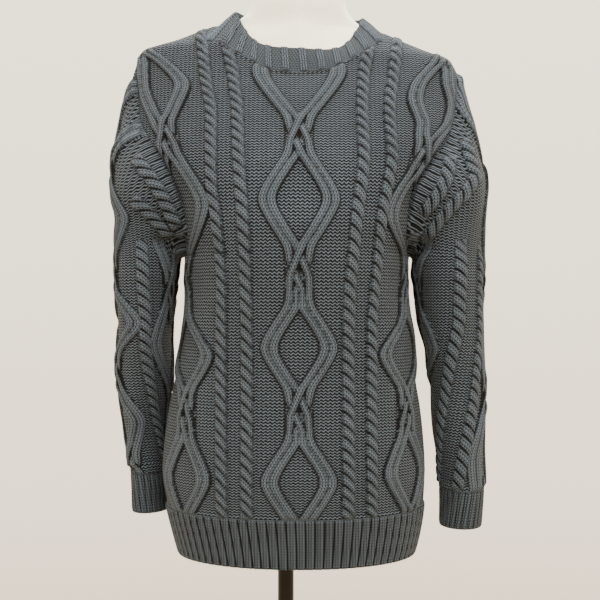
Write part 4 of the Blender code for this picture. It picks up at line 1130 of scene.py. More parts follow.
def armhole_seam(side):
    """The armhole's edge on each panel, and once round it: outer points, inner points and places."""
    key = "left" if side < 0 else "right"
    halves, halves_inside = [], []
    for seams in (FRONT_SEAMS, BACK_SEAMS):
        outer, inside = seams[key]
        above = outer[:, 2] >= UNDERARM_LEVEL - 0.01
        halves.append(outer[above])
        halves_inside.append(inside[above])
    measured = [places_of(half) for half in halves]
    seam = np.concatenate([halves[0], halves[1][-2:0:-1]])
    seam_inside = np.concatenate([halves_inside[0], halves_inside[1][-2:0:-1]])
    seam_at = np.concatenate([measured[0] / 2, 1 - measured[1][-2:0:-1] / 2])
    return halves, measured, seam, seam_inside, seam_at


def sleeve_surface(side, halves, measured, shares):
    """Rows of points of the smooth sleeve, the share of the cap's length and half the girth at each row."""
    end, half_length = sleeve_ring(side, CAP_LEVEL, shares)
    steps = np.linspace(0, 1, CAP_ROWS + 1)[1:]
    steps = 0.5 * steps + 0.5 * steps**1.5
    cap = np.zeros((len(steps), len(shares), 3))
    for column, share in enumerate(shares):
        half, at = (halves[0], measured[0]) if share >= 0 else (halves[1], measured[1])
        start = np.array([np.interp(abs(share), at, half[:, axis]) for axis in range(3)])
        cap[:, column] = cap_paths(start, end[column], share, side, steps)
    low = CUFF_LEVELS[side][1]
    levels = np.linspace(CAP_LEVEL, low, round((CAP_LEVEL - low) / SLEEVE_SPACING) + 1)[1:]
    rings, half_lengths = zip(*(sleeve_ring(side, height, shares) for height in levels))
    step_down = np.concatenate([steps, np.ones(len(levels))])
    girths = np.concatenate([np.full(len(steps), half_length), half_lengths])
    return np.concatenate([cap, np.array(rings)]), step_down, girths


def sleeve_folds(side, rows, step_down, shares):
    """How far the sleeve's soft folds push each of its points out."""
    push = np.zeros(rows.shape[:2])
    for fold_side, face, share, height, share_spread, height_spread, out in SLEEVE_FOLDS:
        if fold_side == side:
            away = np.abs(shares) - share if face == 0 else shares * -face - share
            push += out * np.exp(-(away[None, :] / share_spread) ** 2
                                 - ((rows[..., 2] - height) / height_spread) ** 2)
    return push * ease(step_down / FOLD_START)[:, None]


print("armholes are", [round(len(armhole_seam(side)[2])) for side in (-1, 1)], "points round")

# %% [markdown]
# ## Cables of a sleeve
# One cable runs over the outer fold and parts widely, another lies near the underarm, and ropes run between
# them. They are laid twice, once on the front half and once on the back half. Two more ropes slant across
# the cap, where the worn sleeve is pulled askew; they follow short paths drawn as seen from the front.

# %% Ropes across the cap
# The ropes that slant across the cap, as x and height of points along each
CAP_ROPES = {
    -1: (
        np.array([(-187, 1220), (-177, 1206), (-166, 1191), (-151, 1166), (-138, 1137)], float),
        np.array([(-188, 1172), (-172, 1157), (-155, 1137), (-147, 1125)], float),
    ),
    1: (
        np.array([(173, 1221), (167, 1194), (157, 1175), (139, 1153)], float),
        np.array([(190, 1243), (198, 1197), (185, 1176), (171, 1161), (146, 1127)], float),
    ),
}
# How far the courses slant down and outwards there, and between which heights the slant grows
CAP_SLANT, CAP_SLANT_LEVELS = 0.55, (1095.0, 1160.0)
CAP_ROPE_END = 8.0


def along_path(x, height, path):
    """How far each point lies beside a path, and how far down it, both along the front of the sleeve."""
    beside, down = np.full(x.shape, 1e3), np.zeros(x.shape)
    start = 0.0
    for here, there in zip(path, path[1:]):
        way = there - here
        length = float(np.hypot(*way))
        step_x, step_height = x - here[0], height - here[1]
        at = np.clip((step_x * way[0] + step_height * way[1]) / length**2, 0, 1)
        off_x, off_height = step_x - at * way[0], step_height - at * way[1]
        right = (step_height * way[0] - step_x * way[1]) / length
        away = np.hypot(off_x, off_height) * np.where(right < 0, -1, 1)
        nearer = np.abs(away) < np.abs(beside)
        beside, down = np.where(nearer, away, beside), np.where(nearer, start + at * length, down)
        start += length
    return beside, down, start


def lay_cap_ropes(cloth, rows, side):
    for path in CAP_ROPES[side]:
        beside, down_path, path_length = along_path(rows[..., 0], rows[..., 2], path)
        rope = Stitches(beside, -down_path, -down_path / SLEEVE_COURSE)
        lay_rope(rope, beside, 0.0, SLEEVE_COURSE)
        ends = ease(down_path / CAP_ROPE_END) * ease((path_length - down_path) / CAP_ROPE_END)
        within = (np.abs(beside) < ROPE_WIDTH / 2) & (ends > 0.02)
        cloth.lay(np.where(within, rope.relief * ends, 0), rope.groove_shade, rope.across_strand, rope.down_strand)


print("longest rope across a cap", round(max(along_path(np.zeros(1), np.zeros(1), path)[2]
                                              for paths in CAP_ROPES.values() for path in paths)), "mm")

# %% Ropes and cables down the sleeve
# Distance of each rope from the outer fold, along the cloth, and the courses by which it starts later
SLEEVE_ROPES, ROPE_START = {-1: (80.0,), 1: (40.0, 75.0)}, 0.7
# From the middle of a knot to the tips of the openings above and below it
KNOT_TIP = 24.0
SLEEVE_CABLES = {
    # side: axis from the outer fold, middles of the knots, openings
    -1: ((30.0, (1335, 1212, 1089, 969, 849), (24, 30, 38, 24)), (122.0, (1195, 1071, 935, 800), (20, 28, 26))),
    1: ((6.0, (1340, 1212, 1080, 945, 805), (20, 22, 20, 20)), (147.0, (1200, 1065, 925, 785), (30, 44, 36))),
}
# Cables further from the outer fold than this belong to the underarm: they start below the cap and fade there
UNDERARM_AXIS, BELOW_CAP, BELOW_CAP_FADE, UNDERARM_EDGE, UNDERARM_FADE = 60, 40, 30, 2, 14
# Where the front's and the back's copies of a cable meet, on the outer fold
FOLD_BLEND = 4.0
ARMHOLE_FADE = 8.0


def lay_sleeve_cables(cloth, side, rows, girths):
    below_cap = ease((CAP_LEVEL + BELOW_CAP - rows[..., 2]) / BELOW_CAP_FADE)
    for axis, middles, openings in SLEEVE_CABLES[side]:
        knots = [(middle, middle + KNOT_TIP, middle - KNOT_TIP) for middle in middles]
        for face in (1, -1):
            cable = Stitches(cloth.along, cloth.height, cloth.course)
            lay_parting_cable(cable, face * cloth.along - axis, knots, openings)
            fade = ease((face * cloth.along + FOLD_BLEND) / (2 * FOLD_BLEND))
            if axis > UNDERARM_AXIS:
                to_underarm = girths[:, None] - face * cloth.along
                fade = fade * below_cap * ease((to_underarm - UNDERARM_EDGE) / UNDERARM_FADE)
            cloth.lay(cable.relief * fade, cable.groove_shade, cable.across_strand, cable.down_strand)
    for place in SLEEVE_ROPES[side]:
        for face in (1, -1):
            rope = Stitches(cloth.along, cloth.height, cloth.course)
            lay_rope(rope, -side * face * (face * cloth.along - place), ROPE_START, SLEEVE_COURSE)
            cloth.lay(rope.relief * below_cap, rope.groove_shade, rope.across_strand, rope.down_strand)


print("knots of the outer cables", {side: SLEEVE_CABLES[side][0][1] for side in (-1, 1)})

# %% [markdown]
# ## Knitting a sleeve
# Distances on the sleeve are measured on its own surface, round the arm from the outer fold and down from
# the seam, so the cables keep their width where the cloth puffs out. The wall is then closed with a coarse
# inside.

# %% Knit a sleeve
SLEEVE_INSIDE_COLUMNS = 4


def sleeve_cloth(side, rows, base, girths, shares):
    """What is knitted at each point of a sleeve."""
    down = np.linalg.norm(np.diff(base, axis=0), axis=2)
    down = np.concatenate([np.zeros((1, len(shares))), np.cumsum(down, axis=0)])
    height = CAP_LEVEL + down[CAP_ROWS - 1] - down
    # On the cap the cloth is pulled askew, so its courses slant down and outwards
    in_cap = np.arange(len(rows))[:, None] < CAP_ROWS
    low_level, high_level = CAP_SLANT_LEVELS
    slant = CAP_SLANT * ease((rows[..., 2] - low_level) / (high_level - low_level))
    askew = rows[..., 2] + side * slant * (rows[..., 0] - side * ARMHOLE_MIDDLE[0])
    cloth = Stitches(shares[None, :] * girths[:, None], height, np.where(in_cap, askew, height) / SLEEVE_COURSE)
    lay_cap_ropes(cloth, rows, side)
    lay_sleeve_cables(cloth, side, rows, girths)
    low_fade = ease((height - CUFF_LEVELS[side][1]) / RIB_FADE)
    cloth.relief = cloth.relief * ease(down / ARMHOLE_FADE) * low_fade + SEAM_RISE * (1 - low_fade)
    return cloth


def knit_sleeve(side):
    halves, measured, seam, seam_inside, seam_at = armhole_seam(side)
    shares_at = np.arange(SLEEVE_COLUMNS) / SLEEVE_COLUMNS
    shares = np.where(shares_at <= 0.5, 2 * shares_at, 2 * shares_at - 2)
    rows, step_down, girths = sleeve_surface(side, halves, measured, shares)
    normals = grid_normals(rows)
    base = rows + normals * sleeve_folds(side, rows, step_down, shares)[..., None]
    cloth = sleeve_cloth(side, rows, base, girths, shares)
    outer, inside = base + normals * cloth.relief[..., None], base - normals * WALL

    piece = Piece()
    shift = seam_shift(seam, seam_inside, (side, 0, 0), SEAM_GAP)
    first, first_inside = piece.add(seam + shift), piece.add(seam_inside + shift)
    outside = add_rings(piece, outer, cloth, True)
    join_rings(piece, first, outside[0], seam_at, shares_at)
    join_rings(piece, first, first_inside, seam_at, seam_at)
    rows_inside = [*range(INSIDE_STEP, len(base) - INSIDE_STEP, INSIDE_STEP)]
    columns_inside = np.arange(0, SLEEVE_COLUMNS, SLEEVE_INSIDE_COLUMNS)
    inner = add_rings(piece, inside[rows_inside][:, columns_inside], None, True)
    last_inside = piece.add(inside[-1])
    join_rings(piece, first_inside, inner[0], seam_at, shares_at[columns_inside])
    join_rings(piece, inner[-1], last_inside, shares_at[columns_inside], shares_at)
    join_rings(piece, outside[-1], last_inside, shares_at, shares_at)
    return piece, outer[-1], inside[-1], shares_at


SLEEVES = {side: knit_sleeve(side) for side in (-1, 1)}
print("sleeves", [SLEEVES[side][0].count for side in (-1, 1)], "points")

# %% [markdown]
# ## Ribbing
# The hem, the cuffs and the neckband are ribbed, so that they draw in: knit wales stand up and purl wales
# lie back. The hem has wide ribs with one narrow rib beside them, and a deep narrow gap between the groups.
# The neckband has a flat stretch and then three thin raised lines. A rib is the same outline repeated round
# the edge, so one short table gives it and one function reads it at any place.

# %% Outlines of the ribs
HEM_RIBS, CUFF_RIBS, NECK_RIBS = 40, 26, 24
# Points across one rib: enough for its narrowest line
HEM_POINTS, CUFF_POINTS, NECK_POINTS = 12, 10, 22
HEM_RIB = np.array([
    # place in the rib, relief, painted shade in the rib's gaps
    (0.00, 0.00, 1.0),
    (0.05, 0.30, 0.8),
    (0.12, 0.90, 0.12),
    (0.22, 1.00, 0.06),
    (0.31, 0.65, 0.35),
    (0.40, 0.80, 0.2),
    (0.60, 0.90, 0.15),
    (0.88, 0.90, 0.1),
    (0.95, 0.30, 0.8),
    (1.00, 0.00, 1.0),
])
CUFF_RIB = np.array([
    # place in the rib, relief, painted shade in the rib's gaps
    (0.00, 0.00, 0.7),
    (0.12, 0.65, 0.2),
    (0.35, 0.80, 0.12),
    (0.60, 0.70, 0.2),
    (0.70, 0.50, 0.35),
    (0.80, 0.75, 0.12),
    (0.90, 0.55, 0.2),
    (1.00, 0.00, 0.7),
])
# Three raised lines, then a flat stretch; each place is a whole number of points
NECK_RIB = np.array([
    # place in the rib, relief, painted shade, which below 0 is a painted highlight on a raised line
    (0 / 22, 0.10, 0.40),
    (1 / 22, 1.00, -0.18),
    (2 / 22, 1.00, -0.18),
    (3 / 22, 0.45, 0.45),
    (4 / 22, 1.00, -0.18),
    (5 / 22, 1.00, -0.18),
    (6 / 22, 0.45, 0.45),
    (7 / 22, 1.00, -0.18),
    (8 / 22, 1.00, -0.18),
    (9 / 22, 0.10, 0.40),
    (10 / 22, 0.10, 0.18),
    (21 / 22, 0.10, 0.18),
    (22 / 22, 0.10, 0.40),
])


def rib_at(places, ribs, outline):
    """Relief and the painted shade of the gaps at places from 0 to 1 along a ribbed edge."""
    within = np.mod(places * ribs, 1.0)
    return np.interp(within, outline[:, 0], outline[:, 1]), np.interp(within, outline[:, 0], outline[:, 2])


print("ribs: hem", HEM_RIBS, "a side, cuff", CUFF_RIBS, "neckband", NECK_RIBS)

# %% Stitches and edges of the ribs
# Height of a rib, spacing of its rows, and the length over which a rib rises from the seam
RIB_RELIEF, RIB_SPACING, RIB_START = 2.4, 2.2, 3.0
# The free edge of a rib rolls in: by how much of its height
EDGE_ROLL = 0.35


def rib_cloth(along, height, groove_shade):
    """Columns of knit stitches that run straight along the ribs."""
    cloth = Stitches(along, height, height / RIB_COURSE)
    cloth.across_strand, cloth.down_strand = along / WALE, cloth.course
    cloth.groove_shade, cloth.knit = groove_shade, np.ones(np.shape(height))
    return cloth


def along_line(points, places):
    """Points at given shares of the length of a row of points."""
    length = np.concatenate([[0], np.cumsum(np.linalg.norm(np.diff(points, axis=0), axis=1))])
    at = np.asarray(places) * length[-1]
    return np.stack([np.interp(at, length, points[:, axis]) for axis in range(3)], axis=1)


def join_lines(piece, first, second, first_at, second_at):
    piece.faces += strip(list(first), list(second), list(first_at), list(second_at))


print("courses in the hem's rib", round((RIB_LEVEL - HEM_LEVEL) / RIB_COURSE))

# %% [markdown]
# ## Hem
# The front and the back each have their own hem, knitted on from the panel's lower edge, so that its rows
# run on along the same level ovals as the panel. Its ribs fade at the two ends, where the side seam is sewn.

# %% Knit a hem
# Length over which the hem's edge rolls in, length over which the painted shade in its gaps fades in, and share
# of each end over which the ribs fade
HEM_ROLL_LENGTH, HEM_SHADE_START, HEM_END = 3.5, 5.0, 0.015
HEM_INSIDE_ROWS, HEM_INSIDE_COLUMNS = 3, 6


def hem_rows(back, places, heights, relief):
    """Outer and inner rows of a hem, and how far along the cloth each point lies."""
    body, shift = BODY[back], np.array([0, SEAM_GAP if back else 0, 0])
    rows, rows_inside, alongs = [], [], []
    for height in heights:
        at = int(np.searchsorted(HEIGHTS, height))
        left, right = body["left"][at], body["right"][at]
        along = places * (left + right) - left
        base = cloth_point(along, np.full(len(along), height), back)
        normals = body_normal(base, back)
        start = ease((RIB_LEVEL - height) / RIB_START)
        rolled = 1 - EDGE_ROLL * ease((HEM_LEVEL + HEM_ROLL_LENGTH - height) / HEM_ROLL_LENGTH)
        out = RIB_RELIEF * relief * start * rolled + SEAM_RISE * (1 - start)
        ends = ease(np.minimum(places, 1 - places) / HEM_END)
        rows.append(base + normals * (out * ends)[:, None] + shift)
        rows_inside.append(base - normals * WALL + shift)
        alongs.append(along)
    return np.array(rows), np.array(rows_inside), np.array(alongs)


def knit_hem(back):
    places = np.linspace(0, 1, HEM_RIBS * HEM_POINTS + 1)
    heights = np.linspace(RIB_LEVEL - SEAM_GAP, HEM_LEVEL, round((RIB_LEVEL - HEM_LEVEL) / RIB_SPACING) + 1)
    relief, groove_shade = rib_at(places, HEM_RIBS, HEM_RIB)
    rows, rows_inside, alongs = hem_rows(back, places, heights, relief)
    height_grid = np.repeat(heights[:, None], len(places), axis=1)
    # The painted shade in the ribs' gaps fades in below the seam
    start = ease((RIB_LEVEL - height_grid) / HEM_SHADE_START)
    cloth = rib_cloth(alongs, height_grid, groove_shade[None, :] * start)

    piece = Piece()
    outside = add_rings(piece, rows, cloth, False)
    inner = add_rings(piece, rows_inside[::HEM_INSIDE_ROWS][:, ::HEM_INSIDE_COLUMNS], None, False)
    rim_top, rim_low = piece.add(rows_inside[0]), piece.add(rows_inside[-1])
    join_lines(piece, outside[0], rim_top, places, places)
    join_lines(piece, outside[-1], rim_low, places, places)
    join_lines(piece, rim_top, inner[0], places, places[::HEM_INSIDE_COLUMNS])
    join_lines(piece, inner[-1], rim_low, places[::HEM_INSIDE_COLUMNS], places)
    at_rows = np.linspace(0, 1, len(rows))
    for end in (0, -1):
        inner_side = [rim_top[end], *inner[:, end], rim_low[end]]
        join_lines(piece, outside[:, end], inner_side, at_rows, [0.0, *at_rows[::HEM_INSIDE_ROWS], 1.0])
    return piece


HEMS = {back: knit_hem(back) for back in (False, True)}
print("hems", [HEMS[back].count for back in (False, True)], "points")

# %% [markdown]
# ## Cuffs
# A cuff runs on from the sleeve's last ring, stitch by stitch, in the same level rings. Its ribs could be
# modelled as separate folds, but they rise and fall too little for that, so they are moves of the rings'
# points.

# %% Knit a ribbed tube
TUBE_ROLL = 0.08
TUBE_INSIDE_ROWS, TUBE_INSIDE_COLUMNS = 3, 4


def knit_tube_rib(rings, down, places, ribs, outline, seam, seam_inside, seam_at, gap_step):
    """A closed ribbed edge: its rings run on from the seam of the piece above or below it."""
    # Relief of the ribs, and the painted shade in their gaps
    relief, groove_shade = rib_at(places, ribs, outline)
    normals = grid_normals(rings)
    from_seam = np.abs(down - down[0])
    start = ease(from_seam / RIB_START)
    rolled = 1 - EDGE_ROLL * ease((from_seam / from_seam[-1] - (1 - TUBE_ROLL)) / TUBE_ROLL)
    outer = rings + normals * (RIB_RELIEF * relief[None, :] * (start * rolled)[:, None])[..., None]
    inside = rings - normals * WALL
    round_way = np.linalg.norm(np.diff(rings, axis=1), axis=2).sum(axis=1)
    along = places[None, :] * round_way[:, None]
    height = np.repeat(down[:, None], len(places), axis=1)
    # The seam's row takes the place of the first ring
    cloth = rib_cloth(along[1:], height[1:], (groove_shade[None, :] * start[:, None])[1:])

    piece = Piece()
    first, first_inside = piece.add(seam + gap_step), piece.add(seam_inside + gap_step)
    outside = add_rings(piece, outer[1:], cloth, True)
    inner = add_rings(piece, inside[2:-1:TUBE_INSIDE_ROWS][:, ::TUBE_INSIDE_COLUMNS], None, True)
    last_inside = piece.add(inside[-1])
    join_rings(piece, first, outside[0], seam_at, places)
    join_rings(piece, first, first_inside, seam_at, seam_at)
    join_rings(piece, first_inside, inner[0], seam_at, places[::TUBE_INSIDE_COLUMNS])
    join_rings(piece, inner[-1], last_inside, places[::TUBE_INSIDE_COLUMNS], places)
    join_rings(piece, outside[-1], last_inside, places, places)
    return piece


print("a rib's free edge rolls in by", round(EDGE_ROLL * RIB_RELIEF, 1), "mm")

# %% Knit a cuff


def knit_cuff(side):
    _, seam, seam_inside, seam_at = SLEEVES[side]
    low, high = CUFF_LEVELS[side]
    places = np.arange(CUFF_RIBS * CUFF_POINTS) / (CUFF_RIBS * CUFF_POINTS)
    shares = np.where(places <= 0.5, 2 * places, 2 * places - 2)
    heights = np.linspace(high, low, round((high - low) / RIB_SPACING) + 1)
    rings = np.array([sleeve_ring(side, height, shares)[0] for height in heights])
    return knit_tube_rib(rings, heights, places, CUFF_RIBS, CUFF_RIB,
                         seam, seam_inside, seam_at, np.array([0, 0, -SEAM_GAP]))


CUFFS = {side: knit_cuff(side) for side in (-1, 1)}
print("cuffs", [CUFFS[side].count for side in (-1, 1)], "points")

# %% [markdown]
# ## Neckband
# The neckband is knitted on from the neck seam and stands up round the form's neck. Its upper edge is higher
# at the back and dips at the front, so it is a band between two closed curves, bowed a little outwards.

# %% Upper edge of the neckband
NECK_TOP = np.array([
    # distance from the middle, y, height, along the neckband's upper edge from its front to its back
    (0, -51, 1347),
    (26, -48, 1347.5),
    (44, -40, 1352),
    (57, -31, 1362),
    (67, -20, 1378),
    (73, -8, 1391),
    (75, 3, 1398),
    (72, 14, 1399),
    (63, 25, 1399),
    (48, 33, 1399),
    (26, 39, 1399),
    (0, 41, 1399),
], float)


def neck_top(back):
    """The neckband's upper edge from its left end to its right, over the front or the back."""
    peak = int(np.argmax(NECK_TOP[:, 0]))
    half = NECK_TOP[peak:] if back else NECK_TOP[: peak + 1][::-1]
    curve = np.concatenate([half * np.array([-1, 1, 1]), half[::-1][1:]])
    curve[:, 2] -= NECK_TILT * curve[:, 0]
    at, fine = places_of(curve), np.linspace(0, 1, 4 * len(curve))
    return np.stack([level(np.stack([at, curve[:, axis]], axis=1), fine, 1) for axis in range(3)], axis=1)


print("upper edge of the neckband from", NECK_TOP[:, 2].min(), "to", NECK_TOP[:, 2].max(), "mm high")

# %% Knit the neckband
NECK_GAP, NECK_BOW, NECK_ROWS = 0.65, 1.5, 26
# Share of each half of the seam that its points take up, which leaves the last step to the other half
NECK_SEAM_SHARE = 0.998


def knit_neckband():
    (front, front_inside), (back, back_inside) = FRONT_SEAMS["neck"], BACK_SEAMS["neck"]
    back, back_inside = back[::-1], back_inside[::-1]
    seam, seam_inside = np.concatenate([front, back]), np.concatenate([front_inside, back_inside])
    front_at, back_at = (places_of(half) / 2 * NECK_SEAM_SHARE for half in (front, back))
    seam_at = np.concatenate([front_at, 0.5 + back_at])
    places = np.arange(NECK_RIBS * NECK_POINTS) / (NECK_RIBS * NECK_POINTS)
    top_front, top_back = neck_top(False), neck_top(True)[::-1]
    in_front, within = (places < 0.5)[:, None], 2 * places % 1
    low = np.where(in_front, along_line(front, within), along_line(back, within))
    high = np.where(in_front, along_line(top_front, within), along_line(top_back, within))
    shares = np.linspace(0, 1, NECK_ROWS)
    flat = low + shares[:, None, None] * (high - low)
    bowed = flat + grid_normals(flat) * (NECK_BOW * np.sin(math.pi * shares))[:, None, None]
    tall = float(np.linalg.norm(high - low, axis=1).mean())
    step = seam_shift(seam, seam_inside, (0, 0, 1), NECK_GAP)
    return knit_tube_rib(bowed, shares * tall, places, NECK_RIBS, NECK_RIB, seam, seam_inside, seam_at, step)


NECKBAND = knit_neckband()
print("neckband", NECKBAND.count, "points")

# %% [markdown]
# ## Dress form
# The form is a moulded torso covered in cream jersey, on a turned pole and base. The cloth hides all but its
# neck, so it needs no detail inside the sweater. It could be a mesh smoothed by subdivision, but level rings
# read from the solid's own table stay true to it, and its shoulders can follow the inside of the cloth that
# they carry.

# %% Levels of the dress form
FORM_LEVELS = np.array([
    # height, left half-width, right half-width, front depth, back depth, roundness of the section
    (775, 96, 94, 70, 66, 2.1),
    (779, 116, 112, 84, 80, 2.1),
    (792, 134, 127, 94, 90, 2.1),
    (850, 143, 131, 100, 92, 2.1),
    (930, 131, 124, 97, 84, 2.1),
    (1000, 114, 112, 98, 76, 2.1),
    (1062, 118, 115, 110, 78, 2.1),
    (1107, 121, 117, 116, 82, 2.1),
    (1150, 127, 123, 116, 86, 2.1),
    (1203, 139, 135, 102, 88, 2.1),
    (1250, 148, 145, 86, 84, 2.1),
    (1294, 151, 148, 67, 74, 2.1),
    (1320, 152, 148, 53, 66, 1.9),
    (1338, 151, 147, 45, 58, 1.4),
    (1350, 151, 147, 42, 50, 1.15),
    (1361, 151, 147, 40, 44, 1.1),
    (1373, 151, 147, 38, 38, 1.1),
    (1379, 98, 81, 37, 36, 1.15),
    (1385, 82, 73, 36, 35, 1.3),
    (1391, 73, 66, 37, 34, 1.5),
    (1397, 65, 61, 39, 33, 1.7),
    (1404, 60, 57, 41, 34, 1.9),
    (1416, 56, 55, 43, 39, 2.0),
    (1432, 54, 54, 45, 44, 2.0),
    (1470, 53, 53, 46, 46, 2.0),
    (1476, 49, 49, 42, 42, 2.0),
], float)
print("dress form", len(FORM_LEVELS), "levels, neck", FORM_LEVELS[-2, 1] + FORM_LEVELS[-2, 2], "mm wide")

# %% Shape the dress form
# How far the form's shoulders lie below the cloth, and between which heights
FORM_DROP, FORM_SHOULDER = 4.1, (1338.0, 1376.0)
FORM_SIDES, FORM_SPACING = 96, 5.0


def form_ring(height):
    """Points round the dress form at one level; its shoulders follow the inside of the cloth."""
    left, right, front, back, power = (float(level(FORM_LEVELS, height, column)) for column in range(1, 6))
    if FORM_SHOULDER[0] < height < FORM_SHOULDER[1]:
        left = min(left, float(level(BODY_LEVELS, height + FORM_DROP, 1)))
        right = min(right, float(level(BODY_LEVELS, height + FORM_DROP, 2)))
    angle = np.arange(FORM_SIDES) * 2 * math.pi / FORM_SIDES
    x = np.sign(np.cos(angle)) * np.abs(np.cos(angle)) ** (2 / power)
    y = np.sign(np.sin(angle)) * np.abs(np.sin(angle)) ** (2 / power)
    return np.stack([x * np.where(x < 0, left, right), y * np.where(y < 0, front, back),
                     np.full(FORM_SIDES, float(height))], axis=1)


def shape_form():
    piece = Piece()
    low, high = FORM_LEVELS[0, 0], FORM_LEVELS[-1, 0]
    heights = np.unique(np.concatenate([np.arange(low, high, FORM_SPACING), FORM_LEVELS[:, 0]]))
    names = add_rings(piece, np.array([form_ring(height) for height in heights]), None, True)
    piece.faces += [list(names[0][::-1]), list(names[-1])]
    return piece


FORM = shape_form()
print("dress form", FORM.count, "points")

# %% [markdown]
# ## Colours and nodes
# A colour is written in hex, as it looks on a screen, and the shader takes it as linear light, so one
# function turns it. The materials are built from nodes, and not from painted images: a node pattern has no
# edge where it repeats, and it follows the stitches from one piece to the next.

# %% Helpers for materials
# The kinds of node that are used most
MATH, NOISE = "ShaderNodeMath", "ShaderNodeTexNoise"


def linear(hex_colour):
    """An sRGB colour as the linear values that a shader takes."""
    parts = [int(hex_colour[at:at + 2], 16) / 255 for at in (1, 3, 5)]
    return (*(part / 12.92 if part <= 0.04045 else ((part + 0.055) / 1.055) ** 2.4 for part in parts), 1.0)


def add_node(tree, kind, inputs=None, **settings):
    """Adds a node with its settings, and links or fills its inputs; a node stands for its first output."""
    item = tree.nodes.new(kind)
    for name, value in settings.items():
        setattr(item, name, value)
    for socket, value in (inputs or {}).items():
        if isinstance(value, bpy.types.Node):
            value = value.outputs[0]
        if isinstance(value, bpy.types.NodeSocket):
            tree.links.new(value, item.inputs[socket])
        else:
            item.inputs[socket].default_value = value
    return item


def new_material(name, **shader_settings):
    material = bpy.data.materials.new(name)
    material.use_nodes = True
    shader = material.node_tree.nodes["Principled BSDF"]
    for socket, value in shader_settings.items():
        shader.inputs[socket.replace("_", " ")].default_value = value
    return material, material.node_tree, shader


print("middle grey in linear light", round(linear("#808080")[0], 3))

# %% [markdown]
# ## Cotton yarn, seen from the purl side
# The ground shows the reverse of the stitches: each course is a wavy bar, with a small gap under each
# wave that the colour darkens as painted shade. Real loops could be modelled as curves, but there are tens of
# thousands of them. The shader draws them instead, from the wale and course numbers that each point
# carries, so the stitches turn and stretch with the cloth.

# %% Purl bars
# How far a bar waves, in courses
BAR_WAVE = 0.22
# The gap under a wave is deepest, with its darkest painted shade, a little to one side: by what turn, by
# how much, and its mean depth
GAP_TURN, GAP_SWING, GAP_MEAN = 0.5, 0.24, 0.88


def purl_bars(tree, ground, sway):
    """How deep in a gap between purl bars a point lies, from 0 to 1."""
    parts = add_node(tree, "ShaderNodeSeparateXYZ", {0: ground})
    turn = add_node(tree, MATH, {0: parts.outputs["X"], 1: 2 * math.pi}, operation="MULTIPLY")
    wave = add_node(tree, MATH, {0: turn}, operation="SINE")
    waved = add_node(tree, MATH, {0: wave, 1: BAR_WAVE, 2: parts.outputs["Y"]}, operation="MULTIPLY_ADD")
    course = add_node(tree, MATH, {0: waved, 1: sway}, operation="ADD")
    down = add_node(tree, MATH, {0: course, 1: 2 * math.pi}, operation="MULTIPLY")
    crest = add_node(tree, MATH, {0: down}, operation="COSINE")
    bar = add_node(tree, MATH, {0: crest, 1: 0.5, 2: 0.5}, operation="MULTIPLY_ADD")
    aside = add_node(tree, MATH, {0: turn, 1: GAP_TURN}, operation="ADD")
    swing = add_node(tree, MATH, {0: aside}, operation="COSINE")
    depth = add_node(tree, MATH, {0: swing, 1: GAP_SWING, 2: GAP_MEAN}, operation="MULTIPLY_ADD")
    gap = add_node(tree, MATH, {0: 1.0, 1: bar}, operation="SUBTRACT")
    return add_node(tree, MATH, {0: gap, 1: depth}, operation="MULTIPLY")


print("a purl bar waves by", round(BAR_WAVE * SLEEVE_COURSE, 2), "mm on the sleeves")

# %% [markdown]
# ## Cotton yarn, seen from the knit side
# The cables and ribs show the face of the stitches: each wale is a column of small slanted legs that meet in
# a point, like plaited straw. Between two wales lies a fine line of painted shade, and the gaps between legs
# are painted dark too.

# %% Knit legs
# How steeply a leg rises, in courses for each wale, and where in the wale its dark edge begins
LEG_RISE, LEG_EDGE = 1.3, 0.3
# Depth of the gap between two legs in the middle of a wale, how much its edge adds, and depth of the line
# beside it
LEG_GAP, LEG_GAP_EDGE, WALE_LINE = 0.3, 0.45, 0.25


def knit_legs(tree, parts, sway):
    """How deep in a gap between knit legs a point lies, from 0 to 1."""
    wale = add_node(tree, MATH, {0: parts.outputs["X"]}, operation="FRACT")
    off_middle = add_node(tree, MATH, {0: wale, 1: 0.5}, operation="SUBTRACT")
    leg = add_node(tree, MATH, {0: off_middle}, operation="ABSOLUTE")
    risen = add_node(tree, MATH, {0: leg, 1: LEG_RISE, 2: parts.outputs["Y"]}, operation="MULTIPLY_ADD")
    rise = add_node(tree, MATH, {0: risen, 1: sway}, operation="ADD")
    down = add_node(tree, MATH, {0: rise, 1: 2 * math.pi}, operation="MULTIPLY")
    crest = add_node(tree, MATH, {0: down}, operation="COSINE")
    legs = add_node(tree, MATH, {0: crest, 1: 0.5, 2: 0.5}, operation="MULTIPLY_ADD")
    edge = add_node(tree, "ShaderNodeMapRange", {0: leg, 1: LEG_EDGE, 2: 0.5}, interpolation_type="SMOOTHSTEP")
    depth = add_node(tree, MATH, {0: edge, 1: LEG_GAP_EDGE, 2: LEG_GAP}, operation="MULTIPLY_ADD")
    gap = add_node(tree, MATH, {0: 1.0, 1: legs}, operation="SUBTRACT")
    between = add_node(tree, MATH, {0: gap, 1: depth}, operation="MULTIPLY")
    line = add_node(tree, MATH, {0: edge, 1: WALE_LINE}, operation="MULTIPLY")
    return add_node(tree, MATH, {0: between, 1: line}, operation="ADD")


print("a wale on the cables is", WALE, "mm wide")

# %% [markdown]
# ## Slate grey cotton yarn
# The yarn is a thick, soft cotton, spun loosely from fibres of slightly different greys. So it scatters
# light in all directions, shows a fine mottle and a faint sheen from loose fibre ends, and has no
# mirror-like shine. The same pattern sets the bump and a painted shade in the colour, so that each gap and
# groove is both deep and painted dark, and a loop's flank is painted darker than its top.

